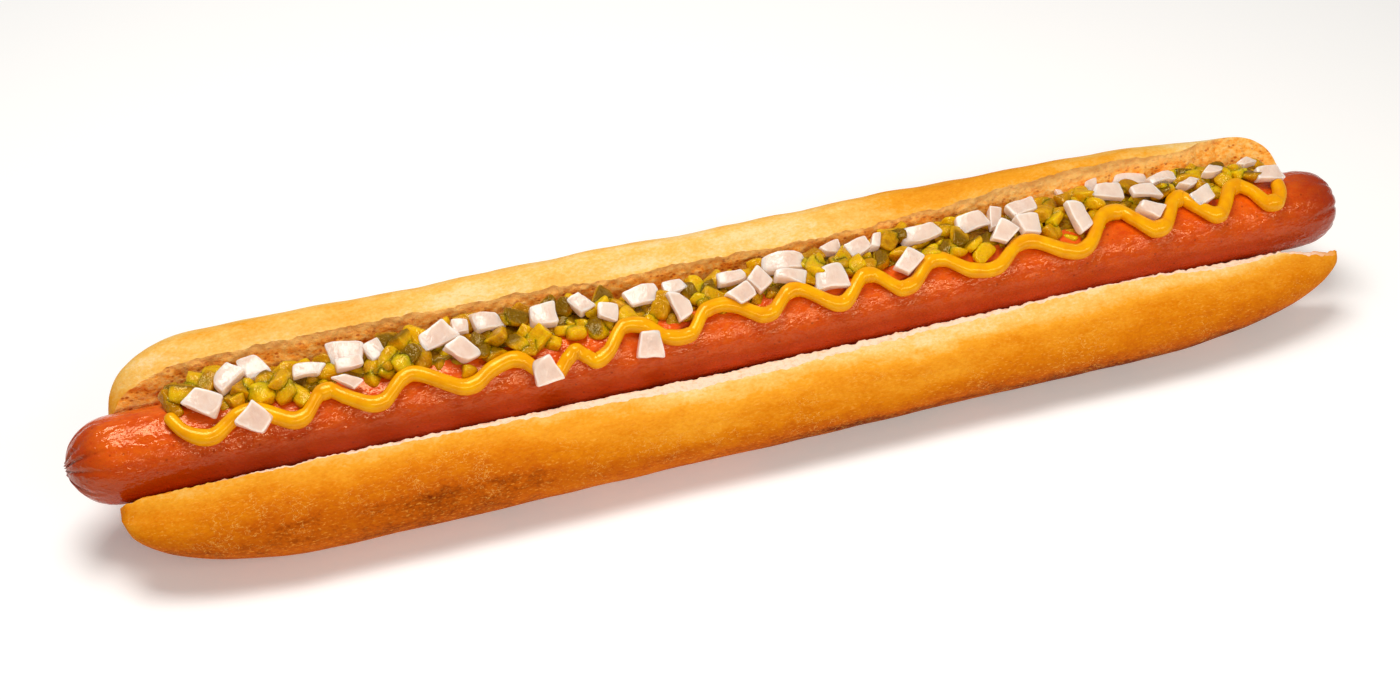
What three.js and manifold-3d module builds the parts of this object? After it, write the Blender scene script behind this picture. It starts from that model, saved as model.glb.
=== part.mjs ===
// A footlong hot dog: a split bun, a sausage, a mustard zigzag, pickle relish and diced onion.
//
// Millimetres, +Z up, +X along the sausage. The near half of the bun is at -Y and lies low, the
// far half is at +Y and stands high. The origin is on the resting plane, straight under the
// sausage's axis and midway along the bun. Sections are drawn in (u, v), where u is Y and v is
// the height above the plane.

import * as THREE from "three";
import { mergeVertices } from "three/addons/utils/BufferGeometryUtils.js";
import Module from "manifold-3d";

const wasm = await Module();
wasm.setup();

// ---------------------------------------------------------------- driving dimensions

const CLEARANCE = 0.3;
const MERGE_DISTANCE = 1e-5;
const SEED = 26;
const DRAW_RULE = { factor: 1664525, step: 1013904223, range: 4294967296 };
const WAVES = [
  { along: 0.083, across: 0.21, phase: 0, height: 0.5 },
  { along: 0.191, across: -0.33, phase: 1.7, height: 0.3 },
  { along: 0.417, across: 0.12, phase: 0.6, height: 0.2 },
];

const SAUSAGE_LENGTH = 301;
const SAUSAGE_MIDDLE = -1.5;
const SAUSAGE_RADIUS = 9.6;
const SAUSAGE_HEIGHT = 21;
const SAUSAGE_SIDES = 28;
const SAUSAGE_STATIONS = 10;
const CAPS = { left: { length: 10.3, fullness: 2 }, right: { length: 13, fullness: 3.1 } };
const CAP_STATIONS = 8;
const LEFT_END_RISE = { height: 0.5, from: 105, to: 150 };
const PINCH_DEPTH = 1.6;
const PINCH_RADIUS = 2.2;
const PINCH_FOLDS = 8;
const PINCH_FOLD_DEPTH = 0.35;
const PINCH_FOLD_REACH = 11;

const BUN_LEFT = -142.2;
const BUN_RIGHT = 143.3;
const BUN_ROUNDING = { nearLeft: 40, nearRight: 52, farLeft: 36, farRight: 19.5 };
const BUN_ROUNDING_POWER = { near: 1.9, far: 4.4 };
const BUN_FAR_TAPER = { from: 80, to: 153, share: 0.24 };
const BUN_TIP_SCALE = { near: 0.06, far: 0.1 };
const BUN_SPINE = [[-14, 17], [13, 20]];
const BUN_SIDES = 26;
const BUN_END_STATIONS = 7;
const BUN_STRAIGHT_STATIONS = 12;
const BUN_OUTLINE = [
  [-14, 0], [-23, 4.9], [-26, 11], [-22.6, 17.6], [-16.5, 20.6], [-7, 26.5],
  [3, 30], [11.8, 32.9], [18.5, 35.2], [26.3, 29.5], [29, 18], [23, 3.6], [12, 0],
];
const BUN_UNEVENNESS = 0.0225;
const BUN_FLAT_FADE = 8;

const GROOVE_RADIUS = SAUSAGE_RADIUS + CLEARANCE;
const GROOVE_ARC_SIDES = 8;
const LIP = [-13.6, 21];
const LIP_OUTER = [-30, 18.4];
const LIP_SLOPE_DEG = 43;
const LIP_SLOPE_MIDDLE = [-11.5, 18.8];
const LIP_SLOPE_DROP = { depth: 9, from: 122, to: 137 };
const FAR_FACE_FOOT = { out: 0.2, height: 24 };
const FAR_FACE_EDGE = [11.8, 32.8];
const FAR_FACE_LEAN = [
  { out: 1.2, from: -20, to: -60 },
  { out: 4, from: 15, to: 105 },
  { out: 5, from: 114, to: 132 },
];
const OPENING_TOP = 44;
const OPENING_REACH = 160;
const OPENING_FLARE = 2;
const OPENING_STEP = 9;
const LIP_DROOP = { depth: 4, from: 124, to: 143 };
const LIP_SWELL = { height: 1, crest: -105, pitch: 185 };
const CRUMB_RAGGEDNESS = 0.3;
const CRUMB_GRAIN = 7;

const BEAD_RADIUS = { slant: 1.5, turn: 1.9 };
const BEAD_STEEPNESS = [0.3, 0.85];
const BEAD_GROWTH = { share: 0.16, from: 55, to: 110 };
const BEAD_SIDES = 8;
const BEAD_STEPS = 150;
const BEAD_END_PARTS = [0.12, 0.45];
const BEAD_LIFT = 1.25;
const MUSTARD_TURNS = [
  [-129.4, 81], [-126.3, 55.5], [-121.6, 44.9], [-115.9, 61.2], [-112.3, 63.4],
  [-104.7, 43.5], [-102.4, 46.9], [-98.7, 67], [-96.6, 68.8], [-93.9, 58.6],
  [-88.8, 43.5], [-86.3, 44], [-81.7, 64.3], [-79.2, 68.1], [-69.8, 41], [-67.1, 41],
  [-62.8, 53.7], [-58.2, 59.9], [-56, 55.5], [-53, 40.5], [-49.3, 35], [-46.6, 47],
  [-44.5, 53.5], [-42.6, 46], [-40.6, 38.5], [-37.8, 44.8], [-32.9, 71.4], [-28.6, 67.2],
  [-24.1, 47.8], [-19, 45.6], [-14.5, 69.4], [-9.2, 72.1], [-2.1, 49.8], [0.3, 51.3],
  [4.8, 70.6], [7.3, 72.9], [16.3, 43.5], [22.9, 71.2], [25.4, 70.2], [30.7, 46.6],
  [33.8, 48.7], [39.5, 72.3], [42.4, 71.8], [48.4, 50.4], [54.5, 47], [61.1, 69.8],
  [64.7, 71.2], [71.9, 50.2], [75.5, 45.2], [78.4, 51.4], [84, 83.8], [87.1, 90],
  [89.6, 86], [91.2, 74.1], [95.4, 53], [98.3, 55.5], [103.3, 86], [105.6, 89],
  [107.9, 72], [112.5, 54], [118.7, 87], [121, 90], [123, 80], [125.6, 57.5],
  [128.2, 54.8], [129.9, 64], [131.1, 86],
];

const HEAP_LEFT = -130;
const HEAP_RIGHT = 131;
const HEAP_STEP = 11;
const HEAP_TAPER = 9;
const HEAP_END_SHARE = 0.3;
const HEAP_UNEVENNESS = 0.3;
const HEAP_GRAIN = 4;
const HEAP_TOP = [[10.2, 24.6], [10.7, 28.8], [8.4, 30.7], [4.4, 31.9], [-0.6, 32]];
const HEAP_UNDERSIDE = { radius: 10.02, fromDeg: 101, toDeg: 24, sides: 5 };
const REST_LINE = [[-4.2, 30.2], [0, 31.9], [5, 32.3], [10.2, 29.8]];

const RELISH_PITCH = 3.2;
const RELISH_LANES = [0.1, 0.86, 0.47, 0.28];
const RELISH_LANE_JITTER = 0.12;
const RELISH_SIZE = [5.2, 4.4, 3];
const RELISH_SPREAD = [0.75, 1.25];
const RELISH_TUMBLE = { x: 0.8, y: 0.6 };
const RELISH_LIFT = [-0.36, 0.84];
const RELISH_CUT_LIMIT = 6;

const ONION_SIZE = [7.2, 6.6, 4];
const ONION_SPREAD = [0.8, 1.22];
const ONION_LIFT = [0.2, 0.35];
const ONION_TURN_DEG = 38;
const ONION_TILT_DEG = 30;
const ONION_LANE_JITTER = 0.06;
const CHUNK_BEVEL = 0.16;
const ONION_ROWS = [
  { lane: 0.74, along: [-116.6, -109.8, -91.5, -66.7, -60.3, -44.8, 5.9, 11.3, 19.3, 26, 40.9,
    54.8, 60.7, 67.9, 78.1, 87, 93.5, 104.7, 117.4, 126.8] },
  { lane: 0.45, along: [-99.8, -86, -73.4, -51, -35.2, -26.2, -19.6, -6.4, 0.8, 66.2, 109.3] },
  { lane: 0.14, along: [-121.6, -93.2, -66.8, -17.2, -5.4, 7.1, 15.1, 34.5, 59.7, 78.5, 96,
    110.6, 129] },
];
const LOOSE_ONIONS = [
  { along: -112.2, around: 52, lift: 3.6, turn: 45 },
  { along: -52.1, around: 40, lift: 3, turn: 8 },
  { along: -28.4, around: 44, lift: 1.7, turn: -10 },
];
const LOOSE_ONION_SIZE = [5.6, 6, 2.8];

// ---------------------------------------------------------------- small helpers

const Y_AXIS = new THREE.Vector3(0, 1, 0);
const Z_AXIS = new THREE.Vector3(0, 0, 1);
const X_AXIS = new THREE.Vector3(1, 0, 0);

/** A repeatable stream of numbers from 0 to 1. */
function makeDraws(seed) {
  let state = seed;
  return () => {
    state = (state * DRAW_RULE.factor + DRAW_RULE.step) % DRAW_RULE.range;
    return state / DRAW_RULE.range;
  };
}

/** A number between two limits. */
function drawBetween(draw, [low, high]) {
  return low + (high - low) * draw();
}

/** A number up to a limit on either side of nothing. */
function drawAround(draw, limit) {
  return drawBetween(draw, [-limit, limit]);
}

/** The closed geometry as a solid that can be joined and cut. */
function toSolid(geometry) {
  const bare = geometry.clone();
  bare.deleteAttribute("normal");
  bare.deleteAttribute("uv");
  const merged = mergeVertices(bare, MERGE_DISTANCE);
  const corners = merged.index.array;
  const kept = [];
  for (let i = 0; i < corners.length; i += 3) {
    const [a, b, c] = [corners[i], corners[i + 1], corners[i + 2]];
    if (a !== b && b !== c && c !== a) {
      kept.push(a, b, c);
    }
  }
  return new wasm.Manifold(new wasm.Mesh({
    numProp: 3,
    vertProperties: new Float32Array(merged.attributes.position.array),
    triVerts: new Uint32Array(kept),
  }));
}

/** Several solids as one. */
function join(solids) {
  return solids.reduce((whole, solid) => whole.add(solid));
}

/** A solid's faces as a geometry, with its flat face normals. */
function toGeometry(solid) {
  const mesh = solid.getMesh();
  const geometry = new THREE.BufferGeometry();
  geometry.setAttribute("position", new THREE.BufferAttribute(mesh.vertProperties, 3));
  geometry.setIndex(new THREE.BufferAttribute(mesh.triVerts, 1));
  geometry.computeVertexNormals();
  return geometry;
}

/** A section in (u, v) run along X from one end to the other. */
function extrudeAlongX(section, left, right, step) {
  const shape = new THREE.Shape(section.map(([u, v]) => new THREE.Vector2(u, v)));
  const depth = right - left;
  const steps = Math.round(depth / step);
  const geometry = new THREE.ExtrudeGeometry(shape, { depth, steps, bevelEnabled: false });
  geometry.applyMatrix4(new THREE.Matrix4().makeBasis(Y_AXIS, Z_AXIS, X_AXIS));
  geometry.translate(left, 0, 0);
  return geometry;
}

/** Moves each vertex by a rule that gives its new (x, y, z). */
function reshape(geometry, rule) {
  const place = geometry.attributes.position;
  for (let i = 0; i < place.count; i += 1) {
    place.setXYZ(i, ...rule(place.getX(i), place.getY(i), place.getZ(i)));
  }
  return geometry;
}

/** An even rise from 0 to 1 between two places, the second of which may be the lower. */
function smoothShare(value, { from, to }) {
  const part = THREE.MathUtils.clamp((value - from) / (to - from), 0, 1);
  return THREE.MathUtils.smoothstep(part, 0, 1);
}

/** A slow wave of about one unit, for dough and crumb that are not quite even. */
function wave(along, across) {
  return WAVES.reduce((sum, one) => (
    sum + one.height * Math.sin(along * one.along + across * one.across + one.phase)
  ), 0);
}

// ---------------------------------------------------------------- sausage

/** One end's profile from the pinch in the middle of the tip to where the side is straight. */
function capProfile({ length, fullness }) {
  const points = [[0, PINCH_DEPTH]];
  for (let i = 1; i <= CAP_STATIONS; i += 1) {
    const distance = length * (1 - Math.cos(i / CAP_STATIONS * Math.PI / 2));
    const short = 1 - distance / length;
    points.push([SAUSAGE_RADIUS * (1 - short ** fullness) ** (1 / fullness), distance]);
  }
  return points;
}

function makeSausage(grown = 0) {
  const half = SAUSAGE_LENGTH / 2;
  const start = CAPS.left.length - half;
  const end = half - CAPS.right.length;
  const profile = capProfile(CAPS.left).map(([radius, distance]) => [radius, distance - half]);
  for (let i = 1; i < SAUSAGE_STATIONS; i += 1) {
    profile.push([SAUSAGE_RADIUS, THREE.MathUtils.lerp(start, end, i / SAUSAGE_STATIONS)]);
  }
  const rightCap = capProfile(CAPS.right).reverse();
  profile.push(...rightCap.map(([radius, distance]) => [radius, half - distance]));
  const points = profile.map(([radius, along]) => (
    new THREE.Vector2(radius > 0 ? radius + grown : 0, along)
  ));
  const geometry = new THREE.LatheGeometry(points, SAUSAGE_SIDES);
  geometry.applyMatrix4(new THREE.Matrix4().makeBasis(Y_AXIS, X_AXIS, Z_AXIS.clone().negate()));
  reshape(geometry, (x, y, z) => {
    const reach = Math.max(0, 1 - (half - Math.abs(x)) / PINCH_FOLD_REACH);
    const radius = Math.hypot(y, z);
    const fold = Math.cos(PINCH_FOLDS * Math.atan2(z, y)) * PINCH_FOLD_DEPTH * reach;
    const scale = radius > PINCH_RADIUS ? (radius + fold) / radius : 1;
    const rise = smoothShare(-x, LEFT_END_RISE) * LEFT_END_RISE.height;
    return [x + SAUSAGE_MIDDLE, y * scale, z * scale + SAUSAGE_HEIGHT + rise];
  });
  return toSolid(geometry);
}

// ---------------------------------------------------------------- bun

/** The size of the loaf's section at a place along it: 1 in the middle, small at the tips. */
function loafScale(x, far) {
  const { nearLeft, nearRight, farLeft, farRight } = BUN_ROUNDING;
  const fromLeft = (x - BUN_LEFT) / THREE.MathUtils.lerp(nearLeft, farLeft, far);
  const fromRight = (BUN_RIGHT - x) / THREE.MathUtils.lerp(nearRight, farRight, far);
  const short = 1 - Math.min(fromLeft, fromRight, 1);
  const power = THREE.MathUtils.lerp(BUN_ROUNDING_POWER.near, BUN_ROUNDING_POWER.far, far);
  const round = Math.sqrt(Math.max(0, 1 - short ** power));
  const blunt = THREE.MathUtils.lerp(BUN_TIP_SCALE.near, BUN_TIP_SCALE.far, far);
  const taper = BUN_FAR_TAPER.share * far * smoothShare(x, BUN_FAR_TAPER);
  return Math.max(round, blunt) * (1 - taper);
}

/** Places along the loaf, close together where its ends round off, with each tip twice. */
function loafStations() {
  const { nearLeft, nearRight } = BUN_ROUNDING;
  const left = [BUN_LEFT];
  const right = [BUN_RIGHT];
  for (let i = 0; i < BUN_END_STATIONS; i += 1) {
    const part = 1 - Math.cos(i / BUN_END_STATIONS * Math.PI / 2);
    left.push(BUN_LEFT + nearLeft * part);
    right.unshift(BUN_RIGHT - nearRight * part);
  }
  const start = BUN_LEFT + nearLeft;
  const straight = BUN_RIGHT - nearRight - start;
  const middle = [];
  for (let i = 0; i <= BUN_STRAIGHT_STATIONS; i += 1) {
    middle.push(start + straight * i / BUN_STRAIGHT_STATIONS);
  }
  return [...left, ...middle, ...right];
}

/** The whole loaf before it is split: flat below, low in front and high behind. */
function makeLoaf() {
  const corners = BUN_OUTLINE.map(([u, v]) => new THREE.Vector3(u, v, 0));
  const outline = new THREE.CatmullRomCurve3(corners, true).getSpacedPoints(BUN_SIDES);
  const stations = loafStations();
  const profile = stations.map((x) => new THREE.Vector2(1, x));
  const geometry = new THREE.LatheGeometry(profile, BUN_SIDES);
  const place = geometry.attributes.position;
  const [[nearU, nearV], [farU, farV]] = BUN_SPINE;
  const last = stations.length - 1;
  for (let side = 0; side <= BUN_SIDES; side += 1) {
    const { x: u, y: v } = outline[(BUN_SIDES - side) % BUN_SIDES];
    const loose = Math.min(Math.max(v, 0) / BUN_FLAT_FADE, 1);
    const far = THREE.MathUtils.smoothstep(u, nearU, farU);
    const spineU = THREE.MathUtils.lerp(nearU, farU, far);
    const spineV = THREE.MathUtils.lerp(nearV, farV, far);
    stations.forEach((x, station) => {
      const atTip = station === 0 || station === last;
      const uneven = 1 + BUN_UNEVENNESS * loose * wave(x, u);
      const scale = loafScale(x, far) * uneven;
      const y = atTip ? 0 : spineU + scale * (u - spineU);
      const z = atTip ? (nearV + farV) / 2 : spineV + scale * (Math.max(v, 0) - spineV);
      place.setXYZ(side * stations.length + station, x, y, z);
    });
  }
  return toSolid(geometry);
}

/** The split between the halves: a trough for the sausage that opens upward and forward. */
function openingSection(inset) {
  const radius = GROOVE_RADIUS - inset;
  const slope = THREE.MathUtils.degToRad(LIP_SLOPE_DEG);
  const start = Math.PI + (Math.PI / 2 - slope);
  const points = [
    [FAR_FACE_EDGE[0] - inset + OPENING_FLARE, OPENING_TOP],
    [LIP_OUTER[0], OPENING_TOP],
    [LIP_OUTER[0], LIP_OUTER[1] + inset],
    [LIP[0] + inset, LIP[1] + inset],
    [LIP_SLOPE_MIDDLE[0] + inset, LIP_SLOPE_MIDDLE[1] + inset],
  ];
  for (let i = 0; i <= GROOVE_ARC_SIDES; i += 1) {
    const angle = start + (2 * Math.PI - start) * i / GROOVE_ARC_SIDES;
    points.push([radius * Math.cos(angle), SAUSAGE_HEIGHT + radius * Math.sin(angle)]);
  }
  points.push([radius + FAR_FACE_FOOT.out, FAR_FACE_FOOT.height]);
  points.push([FAR_FACE_EDGE[0] - inset, FAR_FACE_EDGE[1]]);
  return points;
}

/** How far the far face has moved outward at a place on it, where the roll gapes. */
function farFaceLean(x, height) {
  const out = FAR_FACE_LEAN.reduce((sum, part) => sum + part.out * smoothShare(x, part), 0);
  const share = (height - FAR_FACE_FOOT.height) / (FAR_FACE_EDGE[1] - FAR_FACE_FOOT.height);
  return out * THREE.MathUtils.clamp(share, 0, 1);
}

/** How far the lip has moved up at a place along it, and its inner slope with it. */
function lipRise(x, onSlope) {
  const swell = 0.5 + 0.5 * Math.cos(2 * Math.PI * (x - LIP_SWELL.crest) / LIP_SWELL.pitch);
  const droop = LIP_DROOP.depth * smoothShare(Math.abs(x), LIP_DROOP);
  const drop = onSlope ? LIP_SLOPE_DROP.depth * smoothShare(Math.abs(x), LIP_SLOPE_DROP) : 0;
  return LIP_SWELL.height * swell - droop - drop;
}

function makeOpening(inset = 0) {
  const section = openingSection(inset);
  const geometry = extrudeAlongX(section, -OPENING_REACH, OPENING_REACH, OPENING_STEP);
  reshape(geometry, (x, y, z) => {
    if (Math.abs(y) < GROOVE_RADIUS + CRUMB_RAGGEDNESS) {
      return [x, y, z];
    }
    const uneven = z < OPENING_TOP ? CRUMB_RAGGEDNESS * wave(x * CRUMB_GRAIN, z) : 0;
    if (y > 0) {
      return [x, y + uneven + farFaceLean(x, z), z];
    }
    const rise = z < OPENING_TOP ? lipRise(x, y > (LIP[0] + LIP_SLOPE_MIDDLE[0]) / 2) : 0;
    return [x, y + uneven, z + uneven + rise];
  });
  return toSolid(geometry);
}

// ---------------------------------------------------------------- mustard

/** The bead's middle line, drawn in and out round the upper near side of the sausage. */
class MustardPath extends THREE.Curve {
  constructor(radius) {
    super();
    this.radius = radius;
    const points = MUSTARD_TURNS.map(([along, degrees]) => (
      new THREE.Vector3(along, radius * THREE.MathUtils.degToRad(degrees), 0)
    ));
    this.flat = new THREE.CatmullRomCurve3(points, false, "centripetal");
  }

  getPoint(part, target = new THREE.Vector3()) {
    const flat = this.flat.getPoint(part);
    const angle = flat.y / this.radius;
    return target.set(
      flat.x,
      -this.radius * Math.cos(angle),
      SAUSAGE_HEIGHT + this.radius * Math.sin(angle),
    );
  }
}

/** Places along the bead from 0 to 1, with more of them where its ends are rounded. */
function beadStations() {
  const parts = Array.from({ length: BEAD_STEPS + 1 }, (_, i) => i / BEAD_STEPS);
  const extra = BEAD_END_PARTS.flatMap((part) => [part / BEAD_STEPS, 1 - part / BEAD_STEPS]);
  return [...parts, ...extra].sort((a, b) => a - b);
}

/** The bead's radius: full in the turns, less where it slants, and rounded off at its ends. */
function beadRadius(middle, forward, fromEnd) {
  const [turning, slanting] = BEAD_STEEPNESS;
  const steep = smoothShare(Math.hypot(forward.y, forward.z), { from: turning, to: slanting });
  const growth = 1 + BEAD_GROWTH.share * smoothShare(middle.x, BEAD_GROWTH);
  const radius = THREE.MathUtils.lerp(BEAD_RADIUS.turn, BEAD_RADIUS.slant, steep) * growth;
  const short = Math.max(0, 1 - fromEnd / radius);
  return radius * Math.sqrt(1 - short * short);
}

/** The mustard bead with round ends, before the sausage shapes its underside. */
function makeBead(grown = 0) {
  const path = new MustardPath(SAUSAGE_RADIUS + BEAD_LIFT);
  const length = path.getLength();
  const stations = beadStations();
  const profile = stations.map((part) => new THREE.Vector2(1, part));
  const geometry = new THREE.LatheGeometry(profile, BEAD_SIDES);
  const place = geometry.attributes.position;
  stations.forEach((part, station) => {
    const middle = path.getPointAt(part);
    const forward = path.getTangentAt(part);
    const out = new THREE.Vector3(0, middle.y, middle.z - SAUSAGE_HEIGHT).normalize();
    const across = new THREE.Vector3().crossVectors(forward, out).normalize();
    const tip = station === 0 || station === stations.length - 1;
    const fromEnd = Math.min(part, 1 - part) * length;
    const radius = tip ? 0 : beadRadius(middle, forward, fromEnd) + grown;
    const centre = tip ? middle.addScaledVector(forward, part > 0 ? grown : -grown) : middle;
    for (let side = 0; side <= BEAD_SIDES; side += 1) {
      const angle = -2 * Math.PI * (side % BEAD_SIDES + 0.5) / BEAD_SIDES;
      const point = centre.clone()
        .addScaledVector(across, radius * Math.cos(angle))
        .addScaledVector(out, radius * Math.sin(angle));
      place.setXYZ(side * stations.length + station, point.x, point.y, point.z);
    }
  });
  return toSolid(geometry);
}

// ---------------------------------------------------------------- relish and onion

/** The place on the heap's upper side for a part of the way from its near to its far edge. */
const restLine = new THREE.CatmullRomCurve3(
  REST_LINE.map(([u, v]) => new THREE.Vector3(0, u, v)),
);

/** A cut chunk: a box whose corners are a little off square. */
function makeChunk(sizes, draw) {
  const chunk = new THREE.BoxGeometry(...sizes);
  const pull = [0, 1, 2, 3].map(() => 1 - CHUNK_BEVEL * draw());
  return reshape(chunk, (x, y, z) => {
    const corner = (x > 0 ? 1 : 0) + (y > 0 ? 2 : 0);
    const narrow = z > 0 ? 1 - CHUNK_BEVEL / 2 : 1;
    return [x * pull[corner] * narrow, y * pull[3 - corner] * narrow, z];
  });
}

/** A chopped bit of pickle, turned any way. */
function makeRelishBit(draw, along, lane) {
  const sizes = RELISH_SIZE.map((size) => size * drawBetween(draw, RELISH_SPREAD));
  const bit = makeChunk(sizes, draw);
  bit.rotateZ(draw() * Math.PI);
  bit.rotateX(drawAround(draw, RELISH_TUMBLE.x));
  bit.rotateY(drawAround(draw, RELISH_TUMBLE.y));
  const rest = restLine.getPoint(THREE.MathUtils.clamp(lane, 0, 1));
  bit.translate(along, rest.y, rest.z + drawBetween(draw, RELISH_LIFT));
  return toSolid(bit);
}

/** A die of onion on the heap, lying nearly flat or leaning to the near side. */
function makeHeapOnion(draw, along, lane) {
  const sizes = ONION_SIZE.map((size) => size * drawBetween(draw, ONION_SPREAD));
  const die = makeChunk(sizes, draw);
  die.rotateZ(THREE.MathUtils.degToRad(drawAround(draw, ONION_TURN_DEG)));
  die.rotateX(THREE.MathUtils.degToRad(draw() * ONION_TILT_DEG));
  die.rotateY(THREE.MathUtils.degToRad(drawAround(draw, ONION_TILT_DEG / 2)));
  const rest = restLine.getPoint(lane);
  die.translate(along, rest.y, rest.z + sizes[2] * drawBetween(draw, ONION_LIFT));
  return toSolid(die);
}

/** The core's section, whose underside follows the sausage. */
function heapSection() {
  const { radius, fromDeg, toDeg, sides } = HEAP_UNDERSIDE;
  const section = [...HEAP_TOP];
  for (let i = 0; i <= sides; i += 1) {
    const angle = THREE.MathUtils.degToRad(THREE.MathUtils.lerp(fromDeg, toDeg, i / sides));
    section.push([radius * Math.cos(angle), SAUSAGE_HEIGHT + radius * Math.sin(angle)]);
  }
  return section;
}

/** The relish that fills the gutter between the sausage and the far half of the bun. */
function makeHeapCore() {
  const geometry = extrudeAlongX(heapSection(), HEAP_LEFT, HEAP_RIGHT, HEAP_STEP);
  reshape(geometry, (x, y, z) => {
    const fromAxis = Math.hypot(y, z - SAUSAGE_HEIGHT);
    const height = fromAxis - HEAP_UNDERSIDE.radius;
    const inside = Math.min((x - HEAP_LEFT) / HEAP_TAPER, (HEAP_RIGHT - x) / HEAP_TAPER, 1);
    const full = THREE.MathUtils.lerp(HEAP_END_SHARE, 1, inside);
    const kept = Math.min(full + HEAP_UNEVENNESS * wave(x * HEAP_GRAIN, y), 1);
    const scale = height > CLEARANCE ? 1 - height * (1 - kept) / fromAxis : 1;
    return [x, y * scale, SAUSAGE_HEIGHT + (z - SAUSAGE_HEIGHT) * scale];
  });
  return toSolid(geometry);
}

/** The dice of onion on the heap, row by row. */
function makeHeapOnions(draw) {
  return ONION_ROWS.flatMap(({ lane, along }) => (
    along.map((place) => makeHeapOnion(draw, place, lane + drawAround(draw, ONION_LANE_JITTER)))
  ));
}

/** Relish bits from one end of the heap to the other, where they don't sit deep in `taken`. */
function makeRelishBits(draw, taken) {
  const bits = [];
  const count = Math.floor((HEAP_RIGHT - HEAP_LEFT) / RELISH_PITCH) - 1;
  for (let i = 0; i < count; i += 1) {
    const along = HEAP_LEFT + RELISH_PITCH * (i + 1 + draw());
    const lane = RELISH_LANES[i % RELISH_LANES.length] + drawAround(draw, RELISH_LANE_JITTER);
    const bit = makeRelishBit(draw, along, lane);
    if (bit.intersect(taken).volume() < RELISH_CUT_LIMIT) {
      bits.push(bit);
    }
  }
  return bits;
}

/** The largest shell of a solid: loose scraps are dropped and sealed hollows are filled. */
function largestShell(solid) {
  return solid.decompose().reduce((best, next) => (next.volume() > best.volume() ? next : best));
}

/** One loose onion die, lying on the sausage or on the mustard. */
function placeLooseOnion({ along, around, lift, turn }, grown = 0) {
  const sizes = LOOSE_ONION_SIZE.map((size) => size + 2 * grown);
  const die = new THREE.BoxGeometry(...sizes);
  die.rotateZ(THREE.MathUtils.degToRad(turn));
  die.rotateX(THREE.MathUtils.degToRad(90 - around));
  const angle = THREE.MathUtils.degToRad(around);
  const reach = SAUSAGE_RADIUS + lift;
  die.translate(along, -reach * Math.cos(angle), SAUSAGE_HEIGHT + reach * Math.sin(angle));
  return toSolid(die);
}

// ---------------------------------------------------------------- assembly

const group = new THREE.Group();

function addNode(name, solid, color, roughness) {
  const material = new THREE.MeshStandardMaterial({ color, roughness, metalness: 0 });
  const mesh = new THREE.Mesh(toGeometry(solid), material);
  mesh.name = name;
  group.add(mesh);
}

const sausageClear = makeSausage(CLEARANCE);
const beadClear = makeBead(CLEARANCE);

const draw = makeDraws(SEED);
const onions = join(makeHeapOnions(draw));
const relish = join(makeRelishBits(draw, onions.add(beadClear)));
let heap = makeHeapCore().add(onions).add(relish);
heap = heap.intersect(makeOpening(CLEARANCE)).subtract(sausageClear).subtract(beadClear);
for (const onion of LOOSE_ONIONS) {
  heap = heap.subtract(placeLooseOnion(onion, CLEARANCE));
}

addNode("bun", makeLoaf().subtract(makeOpening()), 0xf0b25c, 0.6);
addNode("sausage", makeSausage(), 0xbf4712, 0.35);
addNode("mustard", makeBead().subtract(sausageClear), 0xf5b312, 0.3);
addNode("relish_and_onion", largestShell(heap), 0xbe8c1e, 0.45);
LOOSE_ONIONS.forEach((onion, i) => {
  const die = placeLooseOnion(onion).subtract(beadClear).subtract(sausageClear);
  addNode(`onion_die_${i + 1}`, largestShell(die), 0xead2c0, 0.35);
});

export default group;
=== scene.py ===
"""A footlong hot dog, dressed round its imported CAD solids.

The bun, sausage, mustard, relish and onion are each rebuilt as fine meshes where their solids
stand, and get procedural finishes. Sizes are in millimetres until a mesh is written, +X runs along
the sausage, +Y towards the high far half of the bun and +Z up.
"""

import logging
import math
from dataclasses import dataclass, field
from enum import Enum
from typing import Iterable, Sequence

import bpy
import numpy as np
from mathutils import Euler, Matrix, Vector


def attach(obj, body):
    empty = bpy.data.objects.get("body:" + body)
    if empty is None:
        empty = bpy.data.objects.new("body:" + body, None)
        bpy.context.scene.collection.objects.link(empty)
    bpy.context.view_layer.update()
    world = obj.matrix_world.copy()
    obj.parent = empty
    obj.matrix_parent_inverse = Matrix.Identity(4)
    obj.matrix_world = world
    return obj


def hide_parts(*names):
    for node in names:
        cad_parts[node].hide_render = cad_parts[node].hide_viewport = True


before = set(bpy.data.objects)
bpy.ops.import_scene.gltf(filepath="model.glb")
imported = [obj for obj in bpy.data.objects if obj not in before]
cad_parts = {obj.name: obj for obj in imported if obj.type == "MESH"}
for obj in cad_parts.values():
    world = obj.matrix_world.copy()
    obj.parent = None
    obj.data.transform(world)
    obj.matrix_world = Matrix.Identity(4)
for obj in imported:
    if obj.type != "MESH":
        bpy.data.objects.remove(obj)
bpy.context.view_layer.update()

BODY = "root"
MM = 0.001
SAUSAGE_HEIGHT = 21.0
SAUSAGE_RADIUS = 9.6

Point = tuple[float, float]
Size = tuple[float, float, float]
Colour = tuple[float, float, float, float]
Socket = bpy.types.NodeSocket
Value = Socket | float | Sequence[float]

WHITE: Colour = (1.0, 1.0, 1.0, 1.0)

log = logging.getLogger("hot_dog")


# ------------------------------------------------------------------------------ numbers

NOISE_KEYS = np.array([73856093, 19349663, 83492791])
SEED_KEY = 6542989
SCRAMBLES = ((13, 1274126177), (15, 668265263))
LAYER_SHIFT, LAYER_SCALE, LAYER_REACH = 17.3, 2.03, 1.4
SLOW_WAVES = ((0.5, 0.083, 0.21, 0.0), (0.3, 0.191, -0.33, 1.7), (0.2, 0.417, 0.12, 0.6))


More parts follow.
